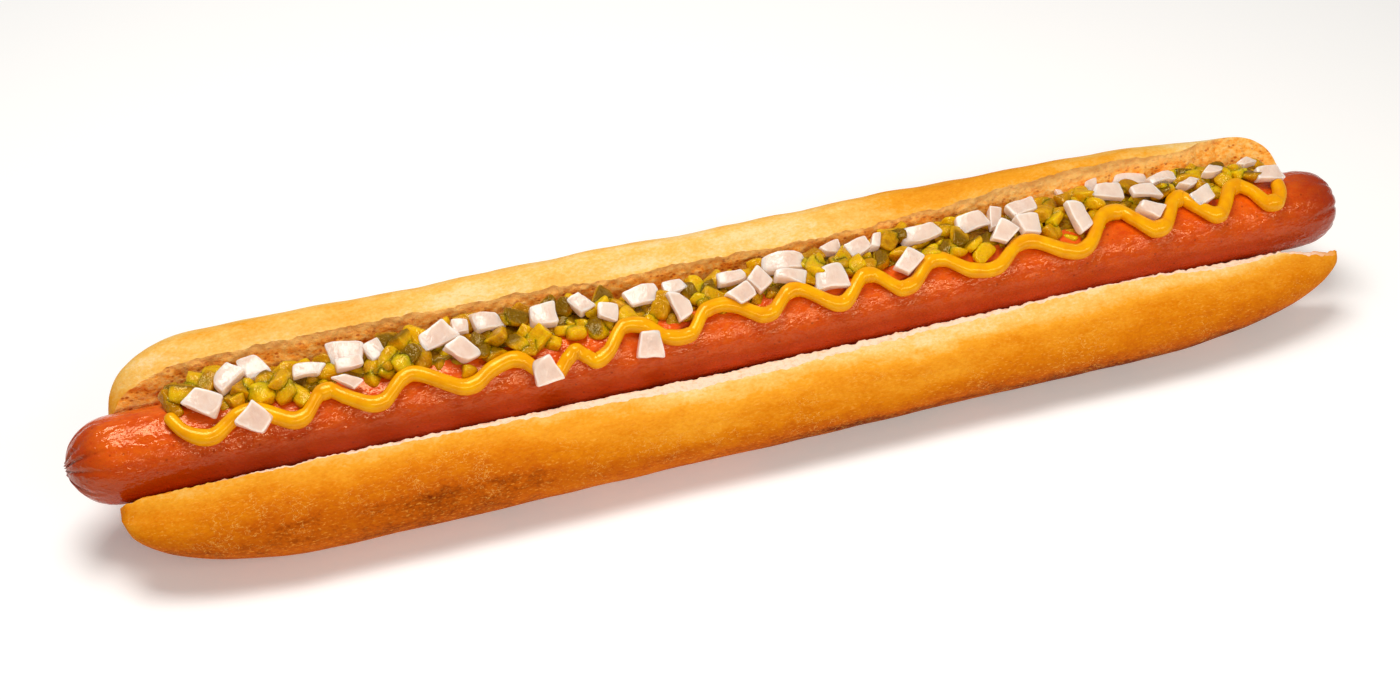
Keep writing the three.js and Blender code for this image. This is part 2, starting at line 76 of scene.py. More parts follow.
class Draws:
    """A repeatable stream of numbers from 0 to 1."""

    FACTOR, STEP, COUNT = 1664525, 1013904223, 2**32

    def __init__(self, seed: int) -> None:
        """Starts the stream at a number."""
        self.state = seed

    def one(self) -> float:
        """The next number from 0 to 1."""
        self.state = (self.state * self.FACTOR + self.STEP) % self.COUNT
        return self.state / self.COUNT

    def between(self, low: float, high: float) -> float:
        """The next number between two limits."""
        return low + (high - low) * self.one()

    def around(self, limit: float) -> float:
        """The next number up to a limit on either side of nothing."""
        return self.between(-limit, limit)


def smooth_step(value: np.ndarray, low: float, high: float) -> np.ndarray:
    """An even rise of values, from 0 where they are `low` to 1 where they are `high`."""
    part = np.clip((value - low) / (high - low), 0.0, 1.0)
    return part * part * (3.0 - 2.0 * part)


def mixed(pair: Point, share: np.ndarray) -> np.ndarray:
    """The first of a pair of sizes where the share is 0, and the second where it is 1."""
    return pair[0] + (pair[1] - pair[0]) * share


def unit_rows(rows: np.ndarray) -> np.ndarray:
    """Rows made one unit long; a row of nothing stays as it is."""
    return rows / np.maximum(np.linalg.norm(rows, axis=1), 1e-6)[:, None]


def lattice_noise(points: np.ndarray, seed: int) -> np.ndarray:
    """Smooth noise with lumps about one unit wide.

    Args:
        points: places, as rows of three numbers.
        seed: picks one noise of many.

    Returns:
        One number from -1 to 1 for each place.
    """
    cell = np.floor(points).astype(np.int64)
    fade = smooth_step(points - cell, 0.0, 1.0)
    total = np.zeros(len(points))
    for corner in np.ndindex(2, 2, 2):
        key = (cell + corner) @ NOISE_KEYS + seed * SEED_KEY
        for shift, factor in SCRAMBLES:
            key = (key ^ (key >> shift)) * factor & 0xFFFFFFFF
        value = (key >> 8 & 0xFFFF) / 32767.5 - 1.0
        total += value * np.prod(np.where(corner, fade, 1.0 - fade), axis=1)
    return total


@dataclass(frozen=True)
class Grain:
    """Unevenness of one kind: noise of several sizes, each half as wide and strong as the last.

    The height is in millimetres, the width is the widest lump's along X, Y and Z, the layers are
    how many sizes it has, and the seed picks one noise of many.
    """

    height: float
    width: Size
    layers: int
    seed: int

    def at(self, points: np.ndarray) -> np.ndarray:
        """The unevenness at places.

        Args:
            points: the places in millimetres, as rows.

        Returns:
            One height for each place, on either side of nothing.
        """
        total = np.zeros(len(points))
        scaled = points / np.array(self.width)
        for layer in range(self.layers):
            total += 0.5**layer * lattice_noise(scaled + LAYER_SHIFT * layer, self.seed + layer)
            scaled = scaled * LAYER_SCALE
        return self.height * total / LAYER_REACH


@dataclass(frozen=True)
class Rise:
    """A size that grows evenly from nothing to full; the end may lie before the start."""

    full: float
    start: float
    end: float

    def at(self, place: np.ndarray) -> np.ndarray:
        """How much there is of it at places."""
        return self.full * smooth_step((place - self.start) / (self.end - self.start), 0.0, 1.0)


def risen(place: np.ndarray, rises: Iterable[Rise]) -> np.ndarray:
    """Several rises at places, added up."""
    return sum(rise.at(place) for rise in rises)


def slow_wave(along: np.ndarray, across: np.ndarray) -> np.ndarray:
    """The slow wave of about one unit that the solids' dough and crumb have too."""
    return sum(size * np.sin(along * a + across * b + c) for size, a, b, c in SLOW_WAVES)


def smooth_line(points: np.ndarray, closed: bool, steps: int = 24) -> np.ndarray:
    """A smooth line through points, the centripetal kind that doesn't loop or overshoot.

    Args:
        points: the points that the line goes through, as rows.
        closed: whether the line comes back to its first point.
        steps: how many points are made between two of the given ones.

    Returns:
        The line's points, as rows.
    """
    if closed:
        row = np.vstack([points[-1:], points, points[:2]])
    else:
        row = np.vstack([2 * points[0] - points[1], points, 2 * points[-1] - points[-2]])
    span = np.sqrt(np.maximum(np.linalg.norm(np.diff(row, axis=0), axis=1), 1e-6))[:, None]
    before, start, end, after = row[:-3], row[1:-2], row[2:-1], row[3:]
    d0, d1, d2 = span[:-2], span[1:-1], span[2:]
    leave = ((start - before) / d0 - (end - before) / (d0 + d1) + (end - start) / d1) * d1
    arrive = ((end - start) / d1 - (after - start) / (d1 + d2) + (after - end) / d2) * d1
    part = (np.arange(steps) / steps)[:, None]
    a, b, p, q = (rows[:, None] for rows in (start, end, leave, arrive))
    line = a + p * part + (3 * (b - a) - 2 * p - q) * part**2 + (2 * (a - b) + p + q) * part**3
    line = line.reshape(len(start) * steps, -1)
    return line if closed else np.vstack([line, points[-1]])


def reach_along(line: np.ndarray) -> np.ndarray:
    """How far along a line each of its points is."""
    gaps = np.linalg.norm(np.diff(line, axis=0), axis=1)
    return np.concatenate([[0.0], np.cumsum(gaps)])


def even_line(line: np.ndarray, count: int, closed: bool = False) -> np.ndarray:
    """Points the same distance apart along a line.

    Args:
        line: the line's points, as rows.
        count: how many points to make.
        closed: whether the line goes on from its last point to its first.

    Returns:
        The new points, as rows; a closed line's first point isn't repeated.
    """
    if closed:
        line = np.vstack([line, line[:1]])
    reach = reach_along(line)
    wanted = np.linspace(0.0, reach[-1], count, endpoint=not closed)
    return np.stack([np.interp(wanted, reach, values) for values in line.T], axis=1)


# ------------------------------------------------------------------------------ meshes


def write_mesh(name: str, points: np.ndarray, faces: list[list[int]]) -> bpy.types.Object:
    """Writes a mesh object at true size, with smooth shading.

    Args:
        name: the object's name.
        points: places in millimetres, as rows.
        faces: the point numbers of each face, counted round it as seen from outside.

    Returns:
        The new object, linked to the scene.
    """
    mesh = bpy.data.meshes.new(name)
    mesh.from_pydata((points * MM).tolist(), [], faces, shade_flat=False)
    mesh.validate()
    made = bpy.data.objects.new(name, mesh)
    bpy.context.scene.collection.objects.link(made)
    return made


def write_tube(name: str, points: np.ndarray, ring: int, flipped: bool = False) -> bpy.types.Object:
    """Writes a closed tube from rings of points that follow one another.

    Args:
        name: the object's name.
        points: the rings' places in millimetres, ring by ring.
        ring: how many points one ring has.
        flipped: whether the rings run round the other way.

    Returns:
        The new object.
    """
    last = len(points) - ring
    row, here = np.arange(0, last, ring)[:, None], np.arange(ring)
    after = (here + 1) % ring
    quads = np.stack([row + here, row + after, row + after + ring, row + here + ring], axis=-1)
    faces = [*quads.reshape(-1, 4).tolist(), here[::-1].tolist(), (here + last).tolist()]
    return write_mesh(name, points, [face[::-1] for face in faces] if flipped else faces)


def mesh_points(piece: bpy.types.Object) -> np.ndarray:
    """A mesh object's points in millimetres, as rows."""
    return np.array([vertex.co[:] for vertex in piece.data.vertices]) / MM


def write_shade(piece: bpy.types.Object, name: str, values: np.ndarray) -> None:
    """Stores one number for each point of a mesh under a name, for a finish to read."""
    layer = piece.data.attributes.new(name, "FLOAT", "POINT")
    layer.data.foreach_set("value", values.astype(np.float32))


def hand_over(
    piece: bpy.types.Object, slot: str, *nodes: str, finish: bpy.types.Material | None = None
) -> bpy.types.Object:
    """Lets a piece stand for CAD nodes, ride on the body and take a finish, if one is given.

    Args:
        piece: the finished mesh object.
        slot: the record's material slot; not used.
        nodes: the CAD nodes that it stands for.
        finish: its material, if it has none yet.

    Returns:
        The same piece.
    """
    if finish:
        piece.data.materials.append(finish)
    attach(piece, BODY)
    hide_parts(*nodes)
    log.info("%s: %d points, for %s", piece.name, len(piece.data.vertices), ", ".join(nodes))
    return piece


def apply_modifiers(piece: bpy.types.Object) -> None:
    """Makes what a piece's modifiers show its own mesh.

    Args:
        piece: the mesh object.
    """
    graph = bpy.context.evaluated_depsgraph_get()
    made = bpy.data.meshes.new_from_object(piece.evaluated_get(graph))
    piece.modifiers.clear()
    piece.data = made


def whole_numbers(items: bpy.types.bpy_prop_collection, name: str) -> np.ndarray:
    """One whole number of each of a mesh's items.

    Args:
        items: the mesh's faces, corners or edges.
        name: which number is read.

    Returns:
        The numbers in order.
    """
    values = np.zeros(len(items), np.int32)
    items.foreach_get(name, values)
    return values


def sharpen_finish_edges(piece: bpy.types.Object) -> None:
    """Keeps the shading crisp where the two finishes of one mesh meet.

    Args:
        piece: the mesh object.
    """
    mesh = piece.data
    corners = whole_numbers(mesh.polygons, "loop_total")
    finish = np.repeat(whole_numbers(mesh.polygons, "material_index"), corners)
    edges, count = whole_numbers(mesh.loops, "edge_index"), len(mesh.edges)
    first, second = (np.bincount(edges[finish == index], minlength=count) > 0 for index in (0, 1))
    mesh.edges.foreach_set("use_edge_sharp", first & second)


# ------------------------------------------------------------------------------ finishes


def colour(red: int, green: int, blue: int) -> Colour:
    """A screen colour from 0 to 255 as the linear colour that a shader takes."""
    shares = (value / 255 for value in (red, green, blue))
    return (*(s / 12.92 if s <= 0.04045 else ((s + 0.055) / 1.055) ** 2.4 for s in shares), 1.0)


@dataclass(frozen=True)
class Surface:
    """How a finish takes light: its gloss and sheen, and how light spreads and glows in it."""

    roughness: float
    specular: float
    sheen: Colour = WHITE
    spread: float = 0.0
    spread_tint: Size = (1.0, 0.2, 0.1)
    spread_depth: float = 2.0
    glow: float = 0.0
    glow_tint: Colour = WHITE


class Desk:
    """Lays out the nodes of one material."""

    def __init__(self, name: str, surface: Surface) -> None:
        """Starts a material with one surface shader.

        Args:
            name: the material's name.
            surface: how it takes light.
        """
        self.material = bpy.data.materials.new(name)
        self.material.use_nodes = True
        self.tree = self.material.node_tree
        self.tree.nodes.clear()
        self.shader = self.node(
            "BsdfPrincipled",
            {
                "Roughness": surface.roughness,
                "Specular IOR Level": surface.specular,
                "Specular Tint": surface.sheen,
                "Subsurface Weight": surface.spread,
                "Subsurface Radius": surface.spread_tint,
                "Subsurface Scale": surface.spread_depth * MM,
                "Emission Color": surface.glow_tint,
                "Emission Strength": surface.glow,
            },
        )
        self.node("OutputMaterial", {"Surface": self.shader.outputs[0]})
        self.place = self.node("TexCoord", {}).outputs["Object"]

    def feed(self, node: bpy.types.Node, inputs: dict[str | int, Value]) -> None:
        """Gives sockets of a node what they take.

        Args:
            node: the node.
            inputs: for a socket's name or number, another node's socket or a fixed value.
        """
        for socket, value in inputs.items():
            if isinstance(value, bpy.types.NodeSocket):
                self.tree.links.new(value, node.inputs[socket])
            else:
                node.inputs[socket].default_value = value

    def node(self, kind: str, inputs: dict[str | int, Value], **options: str) -> bpy.types.Node:
        """Adds one node.

        Args:
            kind: the kind of shader node.
            inputs: what its sockets take.
            options: its other settings.

        Returns:
            The node.
        """
        node = self.tree.nodes.new("ShaderNode" + kind)
        for name, option in options.items():
            setattr(node, name, option)
        self.feed(node, inputs)
        return node

    def shade(self, name: str) -> Socket:
        """A number stored on the mesh's points."""
        return self.node("Attribute", {}, attribute_name=name).outputs["Fac"]

    def stretched(self, width: float | Size) -> Socket:
        """The place, counted in widths in millimetres, which may differ along the axes."""
        scale = 1.0 / (MM * np.broadcast_to(width, 3))
        return self.node("Mapping", {"Vector": self.place, "Scale": scale}).outputs[0]

    def noise(self, width: float | Size, detail: float = 3.0, rough: float = 0.55) -> Socket:
        """Noise of 0 to 1: lumps of a width, with finer layers of so much strength each."""
        place = {"Vector": self.stretched(width), "Scale": 1.0}
        return self.node("TexNoise", {**place, "Detail": detail, "Roughness": rough}).outputs["Fac"]

    def cells(self, width: float | Size) -> Socket:
        """The distance to the nearest of points scattered about a width apart, in widths."""
        place = {"Vector": self.stretched(width), "Scale": 1.0}
        return self.node("TexVoronoi", place).outputs["Distance"]

    def ranged(self, value: Socket, source: Point, target: Point = (0.0, 1.0)) -> Socket:
        """A value moved evenly from the source range to the target range, and held within it."""
        ends = dict(zip(("From Min", "From Max", "To Min", "To Max"), (*source, *target)))
        return self.node("MapRange", {"Value": value, **ends}).outputs["Result"]

    def sum(self, first: Socket, second: Socket, share: float = 1.0) -> Socket:
        """The first value plus a share of the second."""
        inputs = {0: second, 1: share, 2: first}
        return self.node("Math", inputs, operation="MULTIPLY_ADD").outputs[0]

    def product(self, first: Socket, second: Socket) -> Socket:
        """Two values multiplied."""
        return self.node("Math", {0: first, 1: second}, operation="MULTIPLY").outputs[0]

    def lines(self, value: Socket, width: float) -> Socket:
        """1 along thin lines where a value crosses one half, and 0 elsewhere."""
        off = self.node("Math", {0: self.ranged(value, (0.0, 1.0), (-0.5, 0.5))}, operation="ABSOLUTE")
        return self.ranged(off.outputs[0], (0.0, width), (1.0, 0.0))

    def ramp(self, value: Socket, stops: dict[float, Colour]) -> Socket:
        """A colour that changes with a value.

        Args:
            value: the value that picks the colour.
            stops: the colours, each under the value that it stands at.

        Returns:
            The colour.
        """
        node = self.node("ValToRGB", {"Fac": value})
        band = node.color_ramp
        while len(band.elements) < len(stops):
            band.elements.new(0.5)
        for element, (position, shade) in zip(band.elements, stops.items()):
            element.position, element.color = position, shade
        return node.outputs["Color"]

    def laid(self, share: Socket, under: Socket | Colour, over: Socket | Colour) -> Socket:
        """One colour laid over another, by a share from 0 to 1."""
        inputs = {0: share, 6: under, 7: over}
        return self.node("Mix", inputs, data_type="RGBA").outputs[2]

    def finished(
        self, base: Socket | Colour, relief: Iterable[tuple[Socket, float]] = (), **more: Socket
    ) -> bpy.types.Material:
        """Colours the surface and gives it fine relief.

        Args:
            base: the surface's colour.
            relief: height values, each with the depth in millimetres that 0 to 1 stands for.
            more: what other sockets of the shader take.

        Returns:
            The material.
        """
        normal: dict[str, Socket] = {}
        for height, depth in relief:
            inputs = {"Strength": 1.0, "Distance": depth * MM, "Height": height, **normal}
            normal = {"Normal": self.node("Bump", inputs).outputs[0]}
        self.feed(self.shader, {"Base Color": base, **normal, **more})
        return self.material


@dataclass(frozen=True)
class CrustFinish:
    """Soft golden crust, pale near the cut and darker towards the base, partly browned and partly
    painted shade where the crust turns under.
    """

    surface: Surface = Surface(0.65, 0.04, spread=0.04, spread_tint=(1.0, 0.4, 0.05))
    pale: Colour = colour(248, 214, 152)
    light: Colour = colour(244, 193, 100)
    golden: Colour = colour(238, 160, 38)
    amber: Colour = colour(219, 126, 6)
    # brown and dark are reached towards the crust's base: partly its browned colour, partly painted
    # shade
    brown: Colour = colour(194, 92, 4)
    dark: Colour = colour(104, 32, 0)
    spark: Colour = colour(246, 174, 70)
    crack_width: float = 0.007

    def make(self) -> bpy.types.Material:
        """Builds the material from the mesh's stored mix of browned colour and painted shade.

        Returns:
            The material.
        """
        desk = Desk("bun_crust", self.surface)
        patches = desk.noise((26.0, 7.0, 7.0), 2.0)
        mottle = desk.noise((4.0, 2.6, 2.6), 3.0)
        speckle = desk.noise((0.9, 0.6, 0.6), 2.0, 0.6)
        # the stored value mixes the crust's browned colour with painted shade that darkens it towards
        # the base
        browning = desk.shade("browning")
        for cloud, swing in ((patches, 0.09), (mottle, 0.055), (speckle, 0.06)):
            browning = desk.sum(browning, desk.ranged(cloud, (0.3, 0.7), (-swing, swing)))
        base = desk.ramp(
            browning,
            {
                0.0: self.pale, 0.12: self.light, 0.3: self.golden,
                0.54: self.amber, 0.78: self.brown, 1.0: self.dark,
            },
        )
        dots = desk.ranged(desk.noise((1.0, 0.34, 0.34), 2.0), (0.58, 0.67), (0.0, 0.46))
        dots = desk.product(dots, desk.ranged(desk.noise(7.0, 2.0), (0.36, 0.6), (0.45, 1.0)))
        base = desk.laid(dots, base, self.spark)
        cracks = desk.lines(desk.noise((3.4, 2.6, 2.6), 4.0, 0.6), self.crack_width)
        cracks = desk.product(cracks, desk.ranged(desk.noise(11.0, 1.0), (0.48, 0.58)))
        cracks = desk.product(cracks, desk.ranged(browning, (0.3, 0.5), (0.0, 0.75)))
        base = desk.laid(cracks, base, self.light)
        return desk.finished(base, [(patches, 0.3), (mottle, 0.2), (speckle, 0.12)])


@dataclass(frozen=True)
class CrumbFinish:
    """Torn bread crumb: cream at the near lip, tan and pitted on the far face, with painted shade in
    its pores and pits.
    """

    surface: Surface = Surface(0.85, 0.03, spread=0.1, spread_tint=(1.0, 0.5, 0.2))
    lip: Colour = colour(253, 219, 192)
    lip_shade: Colour = colour(247, 189, 146)
    crust: Colour = colour(244, 160, 40)
    flake: Colour = colour(255, 206, 126)
    tan: Colour = colour(255, 187, 90)
    amber: Colour = colour(252, 160, 52)
    # the deep and pit colours are painted shade for the crumb's hollows
    deep: Colour = colour(222, 108, 26)
    pit: Colour = colour(190, 84, 20)

    def make(self) -> bpy.types.Material:
        """Builds the material from the mesh's stored rim, far face and crusty ends.

        Returns:
            The material.
        """
        desk = Desk("bun_crumb", self.surface)
        pores = desk.noise((1.5, 1.0, 0.8), 4.0, 0.65)
        patches = desk.noise((6.0, 3.0, 2.2), 2.0)
        # painted shade: the low places of the pores, which also give the relief, take the darker crumb
        # colours; the patches vary the crumb's own tone
        torn = desk.ranged(pores, (0.28, 0.7))
        torn = desk.sum(torn, desk.ranged(patches, (0.3, 0.7), (-0.2, 0.2)))
        far = desk.ramp(torn, {0.0: self.deep, 0.3: self.amber, 0.62: self.tan, 1.0: self.flake})
        # painted shade in the pits
        pits = desk.ranged(desk.cells((1.6, 1.1, 1.0)), (0.18, 0.34), (0.8, 0.0))
        far = desk.laid(desk.product(pits, desk.ranged(patches, (0.66, 0.5))), far, self.pit)
        far = desk.laid(desk.shade("rim"), far, self.flake)
        # painted shade in the lip's pores
        near = desk.laid(desk.ranged(pores, (0.3, 0.5)), self.lip_shade, self.lip)
        near = desk.laid(desk.shade("crusty"), near, self.crust)
        base = desk.laid(desk.shade("far_face"), near, far)
        return desk.finished(base, [(pores, 0.28), (desk.noise(0.5, 2.0), 0.12)])


@dataclass(frozen=True)
class SausageFinish:
    """Moist, finely wrinkled sausage skin: painted light brightens its upper side, and painted shade
    makes it a deeper red and darker at the ends, darker low down and in its folds.
    """

    surface: Surface = Surface(
        0.2, 0.62, sheen=(1.0, 0.7, 0.44, 1.0), spread=0.1, spread_tint=(1.0, 0.25, 0.1),
        spread_depth=1.5,
    )
    gloss: Point = (0.1, 0.26)
    dry_gloss: float = 0.04
    # bright and top are lit copies of the skin colour, painted light for the upper side; body and low
    # are the darker copies for the side below
    bright: Colour = colour(232, 100, 12)
    top: Colour = colour(212, 72, 2)
    body: Colour = colour(198, 67, 0)
    low: Colour = colour(187, 60, 0)
    # deep is painted shade: the deeper red of the tips and the darker skin low down towards the left
    deep: Colour = colour(146, 29, 0)
    # the colour of the skin's own dark specks, also painted into the creases of the folds as shade
    fleck: Colour = colour(110, 24, 2)

    def make(self) -> bpy.types.Material:
        """Builds the material from the mesh's stored painted shade at the ends and low down, the upper
        side that takes painted light, the dryness and the folds that take painted shade.

        Returns:
            The material.
        """
        desk = Desk("sausage_skin", self.surface)
        mottle = desk.ranged(desk.noise((3.2, 2.2, 2.2), 5.0, 0.66), (0.34, 0.66))
        # painted light and shade: lit copies of the skin colour on the upper side, darker ones below
        lower = desk.laid(mottle, self.low, self.body)
        upper = desk.laid(mottle, self.top, self.bright)
        base = desk.laid(desk.shade("upper"), lower, upper)
        # painted shade at the tips and low down
        base = desk.laid(desk.shade("ends"), base, self.deep)
        # painted shade in the creases of the folds
        base = desk.laid(desk.shade("folds"), base, self.fleck)
        flecks = desk.ranged(desk.cells(2.6), (0.07, 0.14), (0.45, 0.0))
        base = desk.laid(flecks, base, self.fleck)
        gloss = desk.ranged(desk.noise((2.4, 1.4, 1.4), 4.0), (0.4, 0.6), self.gloss)
        gloss = desk.sum(gloss, desk.shade("dry"), self.dry_gloss)
        wrinkles = desk.noise((1.3, 1.0, 1.0), 2.0, 0.5)
        swells = desk.noise((4.2, 2.4, 2.4), 3.0, 0.55)
        return desk.finished(base, [(swells, 0.5), (wrinkles, 0.2)], Roughness=gloss)


@dataclass(frozen=True)
class MustardFinish:
    """Smooth yellow mustard with a soft gloss."""

    surface: Surface = Surface(
        0.19, 0.55, sheen=(1.0, 0.84, 0.3, 1.0), spread=0.05, spread_tint=(1.0, 0.6, 0.02),
        spread_depth=1.0,
    )
    bright: Colour = colour(246, 176, 0)
    deep: Colour = colour(233, 149, 0)

    def make(self) -> bpy.types.Material:
        """Builds the material.

        Returns:
            The material.
        """
        desk = Desk("mustard_paste", self.surface)
        cloud = desk.ranged(desk.noise(3.0, 2.0), (0.3, 0.7))
        base = desk.laid(cloud, self.deep, self.bright)
        return desk.finished(base, [(desk.noise(2.4, 2.0), 0.06), (desk.noise(0.35, 1.0), 0.006)])


@dataclass(frozen=True)
class RelishFinish:
    """Chopped pickle: yellow-green translucent flesh with dark green skin."""

    name: str = "relish_flesh"
    surface: Surface = Surface(
        0.12, 0.4, sheen=(1.0, 0.86, 0.45, 1.0), spread=0.85, spread_tint=(1.0, 0.8, 0.06),
        spread_depth=3.2,
    )
    light: Colour = colour(240, 184, 12)
    flesh: Colour = colour(212, 154, 4)
    deep: Colour = colour(178, 122, 0)
    skin: Colour = colour(128, 92, 0)

    def make(self) -> bpy.types.Material:
        """Builds the material from each bit's stored tone and skin.

        Returns:
            The material.
        """
        desk = Desk(self.name, self.surface)
        cloud = desk.ranged(desk.noise(1.4, 4.0, 0.65), (0.3, 0.7), (-0.28, 0.28))
        tone = desk.sum(desk.shade("tone"), cloud)
        flesh = desk.ramp(tone, {0.0: self.deep, 0.45: self.flesh, 1.0: self.light})
        base = desk.laid(desk.shade("skin"), flesh, self.skin)
        return desk.finished(base, [(desk.noise(1.0, 3.0), 0.35), (desk.noise(0.45, 1.0), 0.08)])


@dataclass(frozen=True)
class OnionFinish:
    """Raw diced onion: wet, milky and a little pink, with frosted cut edges and a painted glow that
    stands for light shining through it.
    """

    milk: Colour = colour(224, 204, 190)
    blush: Colour = colour(210, 181, 164)
    frost: Colour = colour(244, 231, 221)
    # the glow is painted light: it brightens the onion's shaded faces as if light shone through them
    surface: Surface = Surface(
        0.2, 0.45, spread=1.0, spread_tint=(1.0, 0.84, 0.7), spread_depth=4.2,
        glow=0.18, glow_tint=blush,
    )

    def make(self) -> bpy.types.Material:
        """Builds the material from each die's stored edges and tone.

        Returns:
            The material.
        """
        desk = Desk("onion_flesh", self.surface)
        veins = desk.ranged(desk.noise((2.2, 2.8, 2.8), 2.0), (0.36, 0.64), (-0.32, 0.32))
        body = desk.ramp(desk.sum(desk.shade("tone"), veins), {0.0: self.blush, 1.0: self.milk})
        base = desk.laid(desk.shade("edge"), body, self.frost)
        return desk.finished(base, [(desk.noise((2.2, 3.0, 3.0), 3.0), 0.3)])


@dataclass(frozen=True)
class FloorFinish:
    """A plain pale floor."""

    paint: Colour = (0.95, 0.95, 0.95, 1.0)
    surface: Surface = Surface(0.9, 0.1, glow=0.15, glow_tint=paint)

    def make(self) -> bpy.types.Material:
        """Builds the material."""
        return Desk("floor_paint", self.surface).finished(self.paint)


# ------------------------------------------------------------------------------ bun


@dataclass
class Bun:
    """The split roll: a loaf's crust with a trough cut out of it, so that its crumb shows.

    Where a size is a pair named for an end or for all, its first number is the near half's and
    its second the far half's.
    """

    # the loaf
    left: float = -142.2
    right: float = 143.3
    left_rounding: Point = (40.0, 36.0)
    right_rounding: Point = (52.0, 19.5)
    rounding_power: Point = (1.9, 4.4)
    tip_scale: Point = (0.06, 0.1)
    tip_rounding: float = 1.4
    tip_least: float = 0.03
    far_taper: Rise = Rise(0.24, 80.0, 153.0)
    spine: tuple[Point, Point] = ((-14.0, 17.0), (13.0, 20.0))
    outline: tuple[Point, ...] = (
        (-14, 0), (-23, 4.9), (-26, 11), (-22.6, 17.6), (-16.5, 20.6), (-7, 26.5),
        (3, 30), (11.8, 32.9), (18.5, 35.2), (26.3, 29.5), (29, 18), (23, 3.6), (12, 0),
    )
    sides: int = 132
    step: float = 1.3
    end_stations: int = 36
    unevenness: float = 0.0225
    flat_fade: float = 8.0
    inset: Point = (0.04, 0.24)
    dents: Grain = Grain(0.18, (9.0, 5.0, 5.0), 3, 11)

    # the trough for the sausage, its two lips and the opening above it
    groove_radius: float = SAUSAGE_RADIUS + 0.3
    groove_points: int = 24
    groove_drop: Rise = Rise(0.29, 5.0, -1.0)
    lip: Point = (-13.6, 21.0)
    lip_outer: Point = (-30.0, 18.4)
    lip_slope_middle: Point = (-11.5, 18.8)
    lip_slope_deg: float = 43.0
    lip_slope_drop: Rise = Rise(9.0, 122.0, 137.0)
    lip_droop: Rise = Rise(3.2, 124.0, 143.0)
    left_delay: float = 0.88
    right_droop: Rise = Rise(0.9, 88.0, 116.0)
    lip_swell: Size = (1.0, -105.0, 185.0)
    far_face: tuple[Point, Point] = ((10.1, 24.0), (11.8, 32.8))
    far_lean: tuple[Rise, ...] = (Rise(1.2, -20, -60), Rise(4.0, 15, 105), Rise(5.0, 114, 132))
    opening_top: float = 44.0
    opening_flare: float = 2.0
    opening_reach: float = 160.0
    opening_gaps: tuple[float, ...] = (6.0, 6.0, 0.42, 0.6, *(0.9,) * 25, 0.42, 0.9)
    cut_step: float = 0.42

    # the crumb's relief
    smooth_above: float = 43.0
    smooth_within: float = 9.95
    ripple: Point = (0.15, 7.0)
    swells: Grain = Grain(0.25, (9.0, 9.0, 9.0), 2, 43)
    tears: Grain = Grain(0.34, (6.0, 4.0, 3.2), 2, 5)
    pores: Grain = Grain(0.42, (1.7, 1.4, 1.3), 3, 3)
    pore_floor: float = -0.21
    nicks: Grain = Grain(0.3, (0.9, 0.9, 0.9), 1, 19)
    nick_edge: Rise = Rise(1.0, 28.0, 32.5)
    rags: Grain = Grain(0.42, (1.1, 1.3, 1.3), 2, 7)
    lip_share: Point = (0.4, 0.6)

    # how browned the crust is, with painted shade that darkens it towards the base and painted light
    # that pales the far crown, and where the crumb is pale or crusty
    far_side: Rise = Rise(1.0, -6.0, 6.0)
    near_base: float = 0.14
    # painted shade, together with browned colour: the near half darkens towards its base
    near_toast: tuple[Rise, ...] = (Rise(0.22, 20.6, 18.2), Rise(0.72, 20.0, 2.0))
    end_toast: tuple[Rise, ...] = (Rise(0.34, -20, -90), Rise(0.08, 20, 90), Rise(-0.2, -112, -136))
    end_height: Rise = Rise(1.0, 23.5, 18.0)
    lip_pale: tuple[Rise, Rise] = (Rise(0.1, 18.8, 20.6), Rise(1.0, -60.0, 40.0))
    near_limit: float = 0.8
    near_limit_rise: Rise = Rise(0.14, -50.0, 60.0)
    far_base: float = 0.15
    # painted shade, together with browned colour: the far half darkens towards its base
    far_toast: Rise = Rise(0.73, 33.0, 3.0)
    crown_toast: tuple[Rise, ...] = (Rise(0.2, 10.0, 50.0), Rise(-0.3, 85.0, 115.0))
    crown_fade: Rise = Rise(0.8, 20.0, 27.0)
    # painted light, together with the thin crust's own paleness: paler along the far crown by its cut
    # edge, mostly in the middle
    crown_pale: tuple[Rise, Rise] = (Rise(0.09, 18.5, 13.5), Rise(1.0, 86.0, 61.0))
    crusty_ends: tuple[Rise, ...] = (Rise(1.0, 134.0, 144.0), Rise(1.0, -112.0, -130.0))
    rim: Rise = Rise(0.7, 30.6, 33.0)

    def section_scale(self, x: np.ndarray, far: np.ndarray) -> np.ndarray:
        """The size of the loaf's section at places along it.

        Args:
            x: places along the loaf.
            far: 0 on the near half and 1 on the far half.

        Returns:
            1 where the section is full, and less towards the tips.
        """
        from_left, from_right = x - self.left, self.right - x
        inside = np.minimum(
            from_left / mixed(self.left_rounding, far), from_right / mixed(self.right_rounding, far)
        )
        short = 1.0 - np.minimum(inside, 1.0)
        full = np.sqrt(np.maximum(0.0, 1.0 - short ** mixed(self.rounding_power, far)))
        from_tip = np.minimum(from_left, from_right) / self.tip_rounding
        tip = np.sqrt(np.maximum(1.0 - (1.0 - np.minimum(from_tip, 1.0)) ** 2, self.tip_least))
        return np.maximum(full, mixed(self.tip_scale, far)) * tip * (1.0 - far * self.far_taper.at(x))

    def stations(self) -> np.ndarray:
        """Places along the loaf, close together where its ends round off.

        Returns:
            The places, from left to right.
        """
        part = 1.0 - np.cos(np.arange(self.end_stations) / self.end_stations * np.pi / 2)
        start, end = self.left + self.left_rounding[0], self.right - self.right_rounding[0]
        left = self.left + self.left_rounding[0] * part
        right = self.right - self.right_rounding[0] * part
        middle = np.linspace(start, end, round((end - start) / self.step))
        return np.concatenate([left, middle, right[::-1]])

